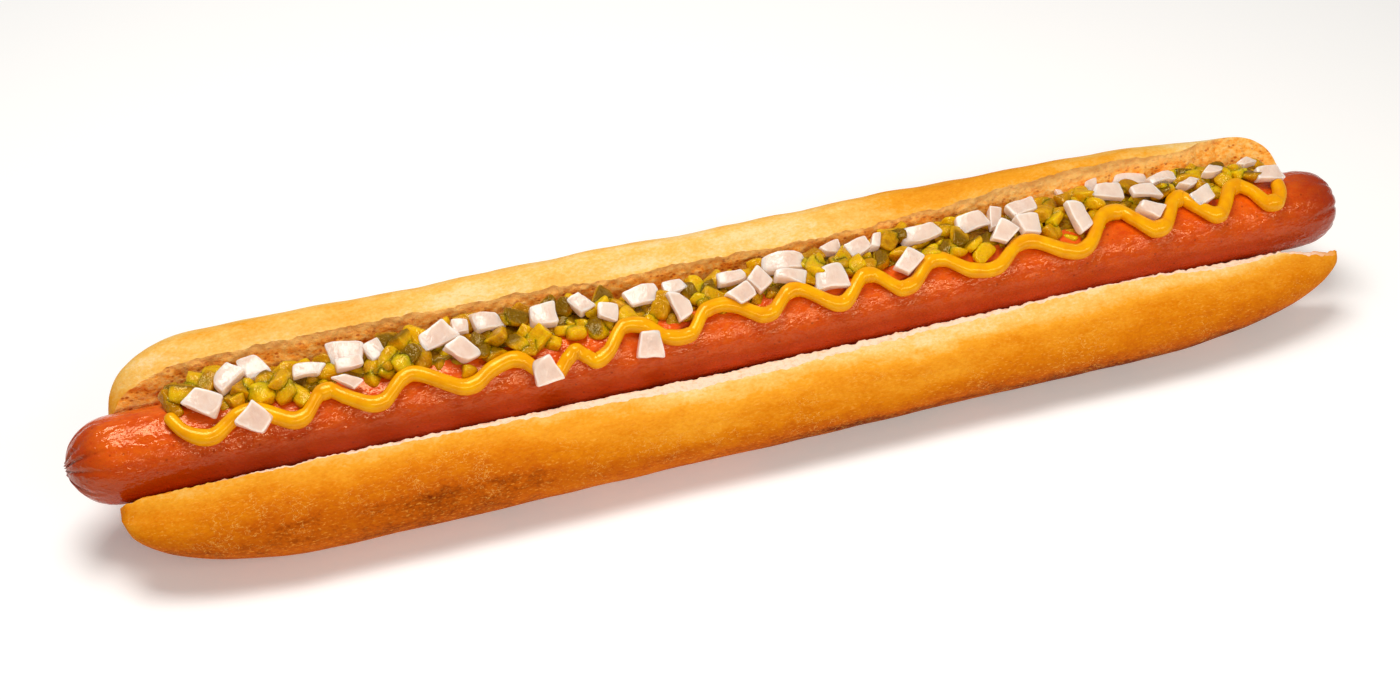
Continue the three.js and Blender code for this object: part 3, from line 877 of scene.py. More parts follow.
    def loaf(self) -> bpy.types.Object:
        """Builds the whole loaf before it is split.

        Returns:
            The closed loaf as a mesh object.
        """
        ring = even_line(smooth_line(np.array(self.outline, float), True), self.sides, True)
        u, v = ring[:, 0], np.maximum(ring[:, 1], 0.0)
        far = smooth_step(u, self.spine[0][0], self.spine[1][0])
        spine_u, spine_v = (mixed(pair, far) for pair in zip(*self.spine))
        loose = np.clip(v / self.flat_fade, 0.0, 1.0)
        x = self.stations()
        grid_x, grid_far = np.meshgrid(x, far, indexing="ij")
        scale = self.section_scale(grid_x, grid_far)
        scale *= 1.0 + self.unevenness * loose * slow_wave(grid_x, u[None, :])
        y = spine_u + scale * (u - spine_u)
        z = spine_v + scale * (v - spine_v)
        points = np.stack([grid_x, y, z], axis=-1).reshape(-1, 3)
        loose = np.tile(loose, len(x))
        inward = np.stack([np.zeros_like(y), spine_u - y, spine_v - z], axis=-1).reshape(-1, 3)
        inset = mixed(self.inset, loose) + loose * self.dents.at(points)
        points += unit_rows(inward) * inset[:, None]
        points[:, 2] = np.maximum(points[:, 2], 0.0)
        return write_tube("bun", points, self.sides, flipped=True)

    def opening_section(self) -> np.ndarray:
        """The outline of what is cut out of the loaf.

        Returns:
            Rows of (u, v, share of the lip's rise, share of its slope's drop).
        """
        start = 1.5 * math.pi - math.radians(self.lip_slope_deg)
        angles = np.linspace(start, 2 * math.pi, self.groove_points)
        u = self.groove_radius * np.cos(angles)
        v = SAUSAGE_HEIGHT + self.groove_radius * np.sin(angles)
        corners = [
            (self.far_face[1][0] + self.opening_flare, self.opening_top, 0, 0),
            (self.lip_outer[0], self.opening_top, 0, 0),
            (*self.lip_outer, 1, 0),
            (*self.lip, 1, 0),
            (*self.lip_slope_middle, 1, 1),
            *np.column_stack([u, v, 0.0 * u, self.groove_drop.at(u)]),
            (*self.far_face[0], 0, 0),
            (*self.far_face[1], 0, 0),
        ]
        line = np.array(corners, float)
        rows = []
        for here, following, gap in zip(line, np.roll(line, -1, axis=0), self.opening_gaps):
            count = max(1, round(math.dist(here[:2], following[:2]) / gap))
            rows.append(here + (following - here) * (np.arange(count) / count)[:, None])
        return np.vstack(rows)

    def lip_rise(self, points: np.ndarray, rise: np.ndarray, drop: np.ndarray) -> np.ndarray:
        """How far the lip and its slope are lifted.

        Args:
            points: the opening's points, as rows.
            rise: the share that each takes in the lip's rise.
            drop: the share that each takes in the slope's drop.

        Returns:
            One height for each point.
        """
        x, u, _ = points.T
        height, crest, pitch = self.lip_swell
        swell = height * (0.5 + 0.5 * np.cos(2 * np.pi * (x - crest) / pitch))
        away = np.maximum(x, -self.left_delay * x)
        outward = np.clip((self.lip[0] - u) / (self.lip[0] - self.lip_outer[0]), 0.0, 1.0)
        droop = (1.0 - 2.0 * outward) * self.lip_droop.at(away)
        return rise * (swell - droop - self.right_droop.at(x)) - drop * self.lip_slope_drop.at(away)

    def opening(self) -> bpy.types.Object:
        """Builds the shape that is cut out of the loaf, with the crumb's relief on its sides.

        Returns:
            The closed cutting shape as a mesh object.
        """
        section = self.opening_section()
        reach = self.opening_reach
        x = np.linspace(-reach, reach, round(2 * reach / self.cut_step))
        grid_x = np.repeat(x, len(section))
        u, v, rise, drop = np.tile(section, (len(x), 1)).T
        points = np.stack([grid_x, u, v], axis=1)
        torn = (v < self.smooth_above) & (np.abs(u) > self.smooth_within)
        slow = self.ripple[0] * slow_wave(grid_x * self.ripple[1], v) + self.swells.at(points)
        face = slow + self.tears.at(points) + np.maximum(self.pores.at(points), self.pore_floor)
        face += self.nick_edge.at(v) * self.nicks.at(points)
        foot, top = self.far_face[0][1], self.far_face[1][1]
        face += risen(grid_x, self.far_lean) * np.clip((v - foot) / (top - foot), 0.0, 1.0)
        rags, lift = self.rags.at(points), self.lip_rise(points, rise, drop)
        near = torn & (u < 0)
        out, up = self.lip_share
        points[:, 1] += np.where(near, out * slow + rags, 0.0) + np.where(torn & (u > 0), face, 0.0)
        points[:, 2] += np.where(near, out * slow + up * rags, 0.0) + lift
        return write_tube("opening", points, len(section))

    def build(self) -> bpy.types.Object:
        """Cuts the opening out of the loaf and dresses both.

        Returns:
            The finished bun.
        """
        bun, cutter = self.loaf(), self.opening()
        finishes = [CrustFinish().make(), CrumbFinish().make()]
        for index, piece in enumerate((bun, cutter)):
            for finish in finishes:
                piece.data.materials.append(finish)
            piece.data.polygons.foreach_set("material_index", [index] * len(piece.data.polygons))
        cut = bun.modifiers.new("cut", "BOOLEAN")
        cut.operation, cut.solver, cut.object = "DIFFERENCE", "MANIFOLD", cutter
        apply_modifiers(bun)
        bpy.data.objects.remove(cutter)
        sharpen_finish_edges(bun)
        self.dress(bun)
        return hand_over(bun, "bread_crust", "bun")

    def dress(self, bun: bpy.types.Object) -> None:
        """Stores how browned the crust is, with painted shade towards its base and painted light on
        the far crown, which crumb is far, and where its lip is crusty.

        Args:
            bun: the split bun.
        """
        x, u, v = mesh_points(bun).T
        # painted shade, together with browned colour: darker towards the near half's base
        near = self.near_base + risen(v, self.near_toast)
        near += risen(x, self.end_toast) * self.end_height.at(v)
        near -= self.lip_pale[0].at(v) * self.lip_pale[1].at(x)
        near = np.minimum(near, self.near_limit + self.near_limit_rise.at(x))
        # painted shade, together with browned colour: darker towards the far half's base
        far = self.far_base + self.far_toast.at(v)
        far += risen(x, self.crown_toast) * (1.0 - self.crown_fade.at(u))
        # painted light, together with the thin crust's own paleness: the far crown is paler by its cut
        # edge
        far -= self.crown_pale[0].at(u) * self.crown_pale[1].at(np.abs(x))
        side = self.far_side.at(u)
        write_shade(bun, "browning", near * (1.0 - side) + far * side)
        write_shade(bun, "far_face", side)
        write_shade(bun, "crusty", risen(x, self.crusty_ends) * (1.0 - side))
        write_shade(bun, "rim", self.rim.at(v) * side)


# ------------------------------------------------------------------------------ sausage


class Tip(Enum):
    """An end of the sausage, with what is added to its draws' seed and its folds' strength."""

    LEFT = (0, 1.0)
    RIGHT = (7, 0.5)


@dataclass
class Sausage:
    """One long sausage with rounded ends, whose skin gathers in folds at each tip."""

    length: float = 299.7
    middle: float = -1.5
    radius: float = SAUSAGE_RADIUS
    caps: tuple[Point, Point] = ((10.3, 2.0), (13.0, 3.1))
    left_rise: Rise = Rise(0.5, -105.0, -150.0)
    sides: int = 150
    step: float = 0.72
    cap_stations: int = 46
    pinch_depth: float = 1.5
    pinch_radius: float = 2.0
    pinch_power: float = 1.4

    # the folds in the skin at each tip
    folds: int = 13
    fold_depth: float = 0.9
    fold_place: Point = (0.15, 0.85)
    fold_reach: Point = (4.0, 15.0)
    fold_share: Point = (0.45, 1.0)
    fold_sway: float = 0.02
    fold_curl: float = 0.0016
    fold_width: Point = (0.06, 0.11)
    fold_fade: float = 0.7
    bank: Point = (0.3, 2.6)
    fold_start: float = 3.0
    seed: int = 5

    inset: float = 0.2
    lumps: Grain = Grain(0.1, (9.0, 5.0, 5.0), 3, 21)
    leather: Grain = Grain(0.075, (2.6, 1.9, 1.9), 2, 23)

    # where the skin takes painted shade (a deeper red at the tips, darker low down towards the left
    # end and in the folds), where painted light brightens its upper side, and where it is drier
    red_share: float = 0.85
    left_red: Rise = Rise(0.8, 12.0, 0.0)
    right_red: Rise = Rise(1.0, 22.0, 2.0)
    upper: Rise = Rise(1.0, 20.0, 30.0)
    low_brown: Rise = Rise(0.5, -20.0, -120.0)
    dry: Rise = Rise(1.0, -70.0, 40.0)
    fold_shade: Point = (0.6, 0.7)

    def cap(self, length: float, fullness: float) -> tuple[np.ndarray, np.ndarray]:
        """One rounded end.

        Args:
            length: how long the end is.
            fullness: how blunt it is; 2 is a half round.

        Returns:
            Its radii, and their distances from the tip.
        """
        part = np.arange(1, self.cap_stations + 1) / self.cap_stations
        distance = length * (1.0 - np.cos(part * np.pi / 2))
        radii = self.radius * (1.0 - (1.0 - distance / length) ** fullness) ** (1.0 / fullness)
        pinched = np.clip(1.0 - radii / self.pinch_radius, 0.0, 1.0) ** self.pinch_power
        return radii, distance + self.pinch_depth * pinched

    def profile(self) -> tuple[np.ndarray, np.ndarray]:
        """The skin's distance from the axis, and the place along it.

        Returns:
            Radii and places, from the left tip to the right tip.
        """
        (left_radii, left), (right_radii, right) = (self.cap(*cap) for cap in self.caps)
        half = self.length / 2
        start, end = self.caps[0][0] - half, half - self.caps[1][0]
        middle = np.linspace(start, end, round((end - start) / self.step))[1:-1]
        places = np.concatenate([left - half, middle, (half - right)[::-1]])
        radii = np.concatenate([left_radii, np.full(len(middle), self.radius), right_radii[::-1]])
        return radii, places

    def folded(self, angle: np.ndarray, tip: np.ndarray, end: Tip) -> np.ndarray:
        """How deep the folds at one tip are, from 0 to about 1, with low banks beside them.

        Args:
            angle: places round the sausage.
            tip: distances along the sausage from the tip.
            end: which tip it is.

        Returns:
            The depths.
        """
        more, strength = end.value
        draws = Draws(self.seed + more)
        depth = np.zeros_like(angle)
        low, wider = self.bank
        for fold in range(self.folds):
            middle = 2 * math.pi * (fold + draws.between(*self.fold_place)) / self.folds
            reach, deep = draws.between(*self.fold_reach), draws.between(*self.fold_share)
            sway, curl = draws.around(self.fold_sway), draws.around(self.fold_curl)
            away = angle - middle - sway * tip - curl * tip**2
            away = (away + math.pi) % (2 * math.pi) - math.pi
            width = draws.between(*self.fold_width)
            fade = np.clip(1.0 - tip / reach, 0.0, 1.0) ** self.fold_fade
            deep *= strength
            depth += deep * np.exp(-((away / width) ** 2)) * fade
            depth -= low * deep * np.exp(-((away / (wider * width)) ** 2)) * fade
        return depth

    def build(self) -> bpy.types.Object:
        """Builds and dresses the sausage.

        Returns:
            The finished sausage.
        """
        radii, places = self.profile()
        angle = np.arange(self.sides) * 2 * np.pi / self.sides
        grid_x, grid_angle = np.meshgrid(places, angle, indexing="ij")
        radius = np.repeat(radii[:, None], self.sides, axis=1)
        ring = np.stack([grid_x, radius * np.cos(grid_angle), radius * np.sin(grid_angle)], axis=-1)
        relief = self.lumps.at(ring.reshape(-1, 3)) + self.leather.at(ring.reshape(-1, 3))
        tips = self.length / 2 - np.abs(grid_x)
        left, right = (self.folded(grid_angle, tips, end) for end in Tip)
        folds = np.where(grid_x < 0, left, right)
        shown = np.clip(radius / self.fold_start, 0.0, 1.0) * np.maximum(folds, -self.bank[0])
        sunk = self.inset + self.fold_depth * shown + relief.reshape(radius.shape)
        slope = np.gradient(radii) / np.gradient(places)
        steep = (slope / np.hypot(1.0, slope))[:, None]
        radius = radius - sunk * np.sqrt(1.0 - steep**2)
        across, height = radius * np.cos(grid_angle), radius * np.sin(grid_angle) + SAUSAGE_HEIGHT
        rows = [grid_x + sunk * steep + self.middle, across, height + self.left_rise.at(grid_x)]
        points = np.stack(rows, axis=-1).reshape(-1, 3)
        sausage = write_tube("sausage", points, self.sides, flipped=True)
        self.dress(sausage, points, tips.ravel(), folds.ravel())
        return hand_over(sausage, "sausage_skin", "sausage", finish=SausageFinish().make())

    def dress(
        self, sausage: bpy.types.Object, points: np.ndarray, tip: np.ndarray, folds: np.ndarray
    ) -> None:
        """Stores the painted shade at the tips and low down, where the skin is drier, the upper side
        that takes painted light, and the folds, whose creases take painted shade.

        Args:
            sausage: the mesh object.
            points: its places in millimetres, as rows.
            tip: each point's distance from its tip.
            folds: how deep in a fold each point is.
        """
        x, _, height = points.T
        # painted shade: a deeper red towards each tip, and darker low down towards the left end
        redder = np.where(x > 0, self.right_red.at(tip), self.left_red.at(tip))
        # painted light: the upper side takes the lit copies of the skin colour
        upper = self.upper.at(height)
        browner = self.low_brown.at(x) * (1.0 - upper)
        share, most = self.fold_shade
        write_shade(sausage, "ends", np.maximum(self.red_share * redder, browner))
        write_shade(sausage, "dry", self.dry.at(x))
        write_shade(sausage, "upper", upper)
        # painted shade in the creases of the folds
        write_shade(sausage, "folds", np.clip(share * folds, 0.0, most))


# ------------------------------------------------------------------------------ mustard


@dataclass
class Mustard:
    """The bead of mustard that zigzags along the upper near side of the sausage.

    Its turns are places along the sausage and degrees round it, up from the near side.
    """

    orbit: float = SAUSAGE_RADIUS + 1.25
    radii: Point = (1.9, 1.5)
    slant: Rise = Rise(1.0, 0.3, 0.85)
    growth: Rise = Rise(0.16, 55.0, 110.0)
    swell: Grain = Grain(0.06, (5.0, 1.0, 1.0), 2, 8)
    mean: float = 0.96
    end_least: float = 0.0004
    squash: float = 0.97
    sink: float = 0.5
    sides: int = 24
    steps: int = 1700
    turns: tuple[Point, ...] = (
        (-129.4, 81), (-126.3, 55.5), (-121.6, 44.9), (-115.9, 61.2), (-112.3, 63.4),
        (-104.7, 43.5), (-102.4, 46.9), (-98.7, 67), (-96.6, 68.8), (-93.9, 58.6),
        (-88.8, 43.5), (-86.3, 44), (-81.7, 64.3), (-79.2, 68.1), (-69.8, 41), (-67.1, 41),
        (-62.8, 53.7), (-58.2, 59.9), (-56, 55.5), (-53, 40.5), (-49.3, 35), (-46.6, 47),
        (-44.5, 53.5), (-42.6, 46), (-40.6, 38.5), (-37.8, 44.8), (-32.9, 71.4), (-28.6, 67.2),
        (-24.1, 47.8), (-19, 45.6), (-14.5, 69.4), (-9.2, 72.1), (-2.1, 49.8), (0.3, 51.3),
        (4.8, 70.6), (7.3, 72.9), (16.3, 43.5), (22.9, 71.2), (25.4, 70.2), (30.7, 46.6),
        (33.8, 48.7), (39.5, 72.3), (42.4, 71.8), (48.4, 50.4), (54.5, 47), (61.1, 69.8),
        (64.7, 71.2), (71.9, 50.2), (75.5, 45.2), (78.4, 51.4), (84, 83.8), (87.1, 90),
        (89.6, 86), (91.2, 74.1), (95.4, 53), (98.3, 55.5), (103.3, 86), (105.6, 89),
        (107.9, 72), (112.5, 54), (118.7, 87), (121, 90), (123, 80), (125.6, 57.5),
        (128.2, 54.8), (129.9, 64), (131.1, 86),
    )

    def thickness(self, middle: np.ndarray, forward: np.ndarray) -> np.ndarray:
        """The bead's radius: full in the turns, less where it slants, rounded off at its ends.

        Args:
            middle: the middle line's places, as rows.
            forward: the way it runs at each place.

        Returns:
            One radius for each place.
        """
        reach = reach_along(middle)
        thick = mixed(self.radii, self.slant.at(np.hypot(forward[:, 1], forward[:, 2])))
        thick *= 1.0 + self.growth.at(middle[:, 0])
        thick *= self.mean + self.swell.at(np.stack([reach, 0 * reach, 0 * reach], axis=1))
        short = np.clip(1.0 - np.minimum(reach, reach[-1] - reach) / thick, 0.0, 1.0)
        return thick * np.sqrt(np.maximum(1.0 - short**2, self.end_least))

    def build(self) -> bpy.types.Object:
        """Builds and dresses the bead.

        Returns:
            The finished bead.
        """
        flat = np.array(self.turns) * (1.0, self.orbit * math.pi / 180)
        x, round_skin = even_line(smooth_line(flat, False), self.steps).T
        angle = round_skin / self.orbit
        out = np.stack([0 * angle, -np.cos(angle), np.sin(angle)], axis=1)
        middle = out * self.orbit + np.stack([x, 0 * x, 0 * x + SAUSAGE_HEIGHT], axis=1)
        forward = unit_rows(np.gradient(middle, axis=0))
        side = unit_rows(np.cross(forward, out))
        thick = self.thickness(middle, forward)
        turn = (np.arange(self.sides) * 2 * np.pi / self.sides)[None, :, None]
        ring = np.cos(turn) * side[:, None] + self.squash * np.sin(turn) * out[:, None]
        points = (middle[:, None] + ring * thick[:, None, None]).reshape(-1, 3)
        axis = np.array([0.0, 0.0, SAUSAGE_HEIGHT])
        reach = np.hypot(points[:, 1], points[:, 2] - SAUSAGE_HEIGHT)
        lifted = np.maximum(reach, SAUSAGE_RADIUS - self.sink) / reach
        points[:, 1:] = axis[1:] + (points[:, 1:] - axis[1:]) * lifted[:, None]
        bead = write_tube("mustard", points, self.sides)
        return hand_over(bead, "mustard", "mustard", finish=MustardFinish().make())


# ------------------------------------------------------------------------------ chunks

REST = np.array(
    [
        (-9.4, 22.8), (-8, 26.3), (-6, 28.5), (-4.2, 30.2), (-2, 31.2), (0, 31.9),
        (2.5, 32.3), (5, 32.3), (7.5, 31.6), (10.2, 29.8), (12, 29),
    ]
)


def rest_height(across: float) -> float:
    """The height that the toppings lie at, for a place across the hot dog."""
    return float(np.interp(across, REST[:, 0], REST[:, 1]))


def turned(points: np.ndarray, turn: float, tilt: float, roll: float) -> np.ndarray:
    """Points turned by degrees about Z, then tilted about X and rolled about Y."""
    angles = Euler([math.radians(angle) for angle in (tilt, roll, turn)], "ZXY")
    return points @ np.array(angles.to_matrix()).T


@dataclass
class Block:
    """A unit block as a grid of points, from which cut chunks are shaped."""

    lines: tuple[float, ...] = (-1.0, -0.9, -0.62, -0.2, 0.2, 0.62, 0.9, 1.0)
    points: np.ndarray = field(init=False)
    quads: np.ndarray = field(init=False)

    def __post_init__(self) -> None:
        """Lays a grid on each of the six faces and welds their shared edges."""
        found: dict[tuple[int, ...], int] = {}
        faces: list[list[int]] = []
        last = len(self.lines) - 1
        for axis, end, i, j in np.ndindex(3, 2, last, last):
            ring = []
            for a, b in ((i, j), (i + 1, j), (i + 1, j + 1), (i, j + 1)):
                key = tuple(np.roll((end * last, a, b), axis).tolist())
                ring.append(found.setdefault(key, len(found)))
            faces.append(ring if end else ring[::-1])
        self.points = np.array([[self.lines[i] for i in key] for key in found], float)
        self.quads = np.array(faces)

    def shaped(self, power: float, cuts: Sequence[np.ndarray] = ()) -> np.ndarray:
        """The unit block with its edges rounded and some corners cut off.

        Args:
            power: how crisp the edges are: 2 gives a ball and 20 almost a box.
            cuts: the outward directions of the planes that cut corners off, each as long as
                the plane is far away.

        Returns:
            Its points, as rows.
        """
        total = (np.abs(self.points) ** power).sum(axis=1)
        for cut in cuts:
            total += np.maximum(self.points @ cut / (cut @ cut), 0.0) ** power
        return self.points / total[:, None] ** (1.0 / power)


@dataclass
class Pile:
    """Many chunks gathered into one mesh."""

    block: Block
    rows: list[np.ndarray] = field(default_factory=list)
    shades: dict[str, list[np.ndarray]] = field(default_factory=dict)

    def add(self, points: np.ndarray, **shades: np.ndarray) -> None:
        """Adds one placed chunk.

        Args:
            points: its places, as rows.
            shades: the numbers stored on its points, by name.
        """
        self.rows.append(points)
        for name, values in shades.items():
            self.shades.setdefault(name, []).append(values)

    def write(self, name: str) -> bpy.types.Object:
        """Writes all the chunks as one object.

        Args:
            name: the object's name.

        Returns:
            The new object.
        """
        size = len(self.block.points)
        quads = np.vstack([self.block.quads + size * i for i in range(len(self.rows))])
        made = write_mesh(name, np.vstack(self.rows), quads.tolist())
        for shade, values in self.shades.items():
            write_shade(made, shade, np.concatenate(values))
        return made


# ------------------------------------------------------------------------------ onion


@dataclass
class Onions:
    """The diced onion on the heap, and the dice that lie alone on the mustard and sausage.

    Each die on the heap has its place along and across, its lift over the heap, its length and
    width, its turn in degrees and how far its corners are off square. Each loose die has its place
    along, its degrees round the sausage, its lift off the skin and its turn.
    """

    thickness: Point = (1.8, 2.8)
    crispness: float = 11.0
    edge: Rise = Rise(1.0, 0.74, 0.97)
    corner: Size = (1.0, 1.0, 0.35)
    corner_cut: Point = (1.0, 1.35)
    bend: Point = (0.01, 0.06)
    bow: float = 0.04
    wedge: float = 0.22
    taper: float = 0.2
    lumps: Grain = Grain(0.24, (2.4, 2.4, 2.4), 2, 61)
    apart: float = 90.0
    tone: Point = (0.4, 1.0)
    sink: float = 0.2
    lean: Size = (26.0, -1.2, 3.0)
    lean_limits: Point = (14.0, 38.0)
    sway: Point = (6.0, 7.0)
    seed: int = 3
    heap: tuple[tuple[float, ...], ...] = (
        (-121.6, -2, 2.5, 6.9, 4.8, -30, -6), (-116.4, 3.9, 1.5, 4.1, 6.2, -48, -4),
        (-110.7, 6.1, 1.5, 5.8, 4.9, -62, -21), (-100.1, 1.3, 1.5, 6.3, 2.9, -5, -16),
        (-91.7, 4.2, 1.4, 7.5, 5.2, -12, 4), (-91.5, 0.1, 2.3, 5.6, 2.6, 5, 0),
        (-85.7, 3, 1.4, 3.7, 4.5, 21, -6), (-92.3, -3.9, 2.5, 3, 4.7, 18, 37),
        (-72.5, 3.2, 1.5, 4.6, 7.7, -69, 0), (-68, -2.4, 2.5, 5.9, 4.7, -50, -17),
        (-61, 5, 1.4, 6.4, 4.6, -4, 22), (-49, 2.9, 1.5, 5.8, 5.2, 1, -6),
        (-40.4, 4.2, 1.5, 3.7, 4.8, 19, 13), (-35.4, 0, 1.9, 4.4, 3.6, -24, 10),
        (-26.8, 2.6, 1.8, 7.3, 4.3, 1, 12), (-66.9, 5.3, 1.2, 3.5, 3, -6, 5),
        (-19.4, 3.4, 1.4, 4.7, 3.1, 3, 10), (-19.6, -2.8, 2.5, 3.9, 5.9, 3, 6),
        (-6.2, 2.5, 1.5, 6.5, 3, 0, 12), (-0.6, -0.1, 2, 4.9, 4.2, -56, 6),
        (-5.6, -3.2, 2.9, 4, 5.4, -56, -12), (7, 4.6, 1.4, 10.4, 4.4, -7, 2),
        (6.6, -0.9, 2.4, 7.2, 3, -15, -3), (15.4, -2.8, 2, 7.4, 5.5, 0, -4),
        (19, 6.2, 1.3, 4.4, 2.8, 10, 4), (24.7, 3.7, 1.7, 5.6, 3.7, 17, -1),
        (29.3, 4.9, 1.1, 2.1, 3.8, -2, -20), (40.4, 4.1, 1.4, 9.4, 3.9, 0, -1),
        (34, -3.5, 2.5, 4.3, 5.9, -43, -11), (53.2, 4.7, 1.6, 7.9, 4.2, 3, -6),
        (59.3, 4.7, 1.2, 2.9, 5.6, -2, -18), (67.1, 6.5, 1.5, 6.6, 3.9, 3, 3),
        (65.4, -0.3, 2.1, 5.2, 5, -4, 6), (58.5, -1.6, 2.8, 4.5, 5.2, -39, -9),
        (78.2, -1, 2.2, 4.1, 7.6, 8, -1), (80.4, 12, 1.4, 1.4, 2.9, 3, 4),
        (89.1, 5.7, 1.8, 7.6, 4, -7, -11), (99.7, 12.5, 1.5, 8.3, 3, -14, -4),
        (97.3, 3, 1.9, 6.4, 3.3, -15, 24), (105, 8, 1.5, 6.8, 2.5, -5, 10),
        (88.8, 12.8, 1.2, 3.1, 3.8, -2, -28), (108.6, 2, 1.8, 3.6, 3, 16, 42),
        (109.8, -2.4, 2.4, 5.6, 4, 13, -5), (95.7, -3, 2.4, 6, 3.7, -25, -20),
        (117.4, 5.7, 1.5, 3.7, 3.6, 24, 40), (126.5, 6.1, 1.4, 3.5, 2.5, 8, 50),
        (129.4, 0.1, 1.9, 6.6, 3.7, -5, 6),
    )
    loose: tuple[tuple[float, ...], ...] = (
        (-112.2, 52.0, 3.6, 45.0), (-52.1, 40.0, 3.0, 8.0), (-28.4, 44.0, 1.7, -10.0),
    )
    loose_size: Size = (5.2, 5.8, 2.6)
    loose_skew: float = 6.0
    pile: Pile = field(
        default_factory=lambda: Pile(
            Block((-1.0, -0.97, -0.9, -0.78, -0.6, -0.2, 0.2, 0.6, 0.78, 0.9, 0.97, 1.0))
        )
    )

    def place_die(
        self, draws: Draws, size: Size, turn: float, skew: float, lean: Point, place: Size
    ) -> None:
        """Adds one die to the pile.

        Args:
            draws: what makes each die a little different.
            size: its length, width and thickness.
            turn: degrees about the upright axis.
            skew: how many degrees its corners are off square.
            lean: degrees of tilt and of roll.
            place: its middle.
        """
        corner = np.array([draws.around(limit) for limit in self.corner])
        corner *= draws.between(*self.corner_cut) / np.linalg.norm(corner)
        unit = self.pile.block.shaped(self.crispness, [corner])
        edge = self.edge.at(np.sort(np.abs(unit), axis=1)[:, 1])
        slant = math.radians(90.0 + skew)
        half = np.array(size) / 2
        points = unit * half
        points[:, 0] += points[:, 1] * math.cos(slant)
        points[:, 1] *= math.sin(slant)
        points[:, 2] -= draws.between(*self.bend) * points[:, 0] ** 2
        wedges = draws.around(self.wedge), draws.around(self.wedge)
        points[:, 2] *= 1.0 + wedges[0] * unit[:, 0] + wedges[1] * unit[:, 1]
        points[:, 0] *= 1.0 + draws.around(self.taper) * unit[:, 1]
        points[:, 1] *= 1.0 + draws.around(self.wedge) * unit[:, 0]
        points[:, 1] += draws.around(self.bow) * points[:, 0] ** 2
        points += self.lumps.at(points + self.apart * draws.one())[:, None]
        tone = np.full(len(points), draws.between(*self.tone))
        self.pile.add(turned(points, turn, *lean) + np.array(place), tone=tone, edge=edge)

    def build(self) -> bpy.types.Object:
        """Builds and dresses all the dice as one piece.

        Returns:
            The finished dice.
        """
        draws = Draws(self.seed)
        for along, across, lift, length, width, turn, skew in self.heap:
            start, slope, middle = self.lean
            tilt = float(np.clip(start + slope * (across - middle), *self.lean_limits))
            size = (length, width, draws.between(*self.thickness))
            place = (along, across, rest_height(across) + lift - self.sink)
            lean = (tilt + draws.around(self.sway[0]), draws.around(self.sway[1]))
            self.place_die(draws, size, turn, skew, lean, place)
        for along, around, lift, turn in self.loose:
            angle = math.radians(around)
            reach = SAUSAGE_RADIUS + lift
            place = (along, -reach * math.cos(angle), SAUSAGE_HEIGHT + reach * math.sin(angle))
            skew, lean = draws.around(self.loose_skew), (90.0 - around, 0.0)
            self.place_die(draws, self.loose_size, turn, skew, lean, place)
        nodes = ("relish_and_onion", "onion_die_1", "onion_die_2", "onion_die_3")
        return hand_over(self.pile.write("onion"), "onion", *nodes, finish=OnionFinish().make())


# ------------------------------------------------------------------------------ relish


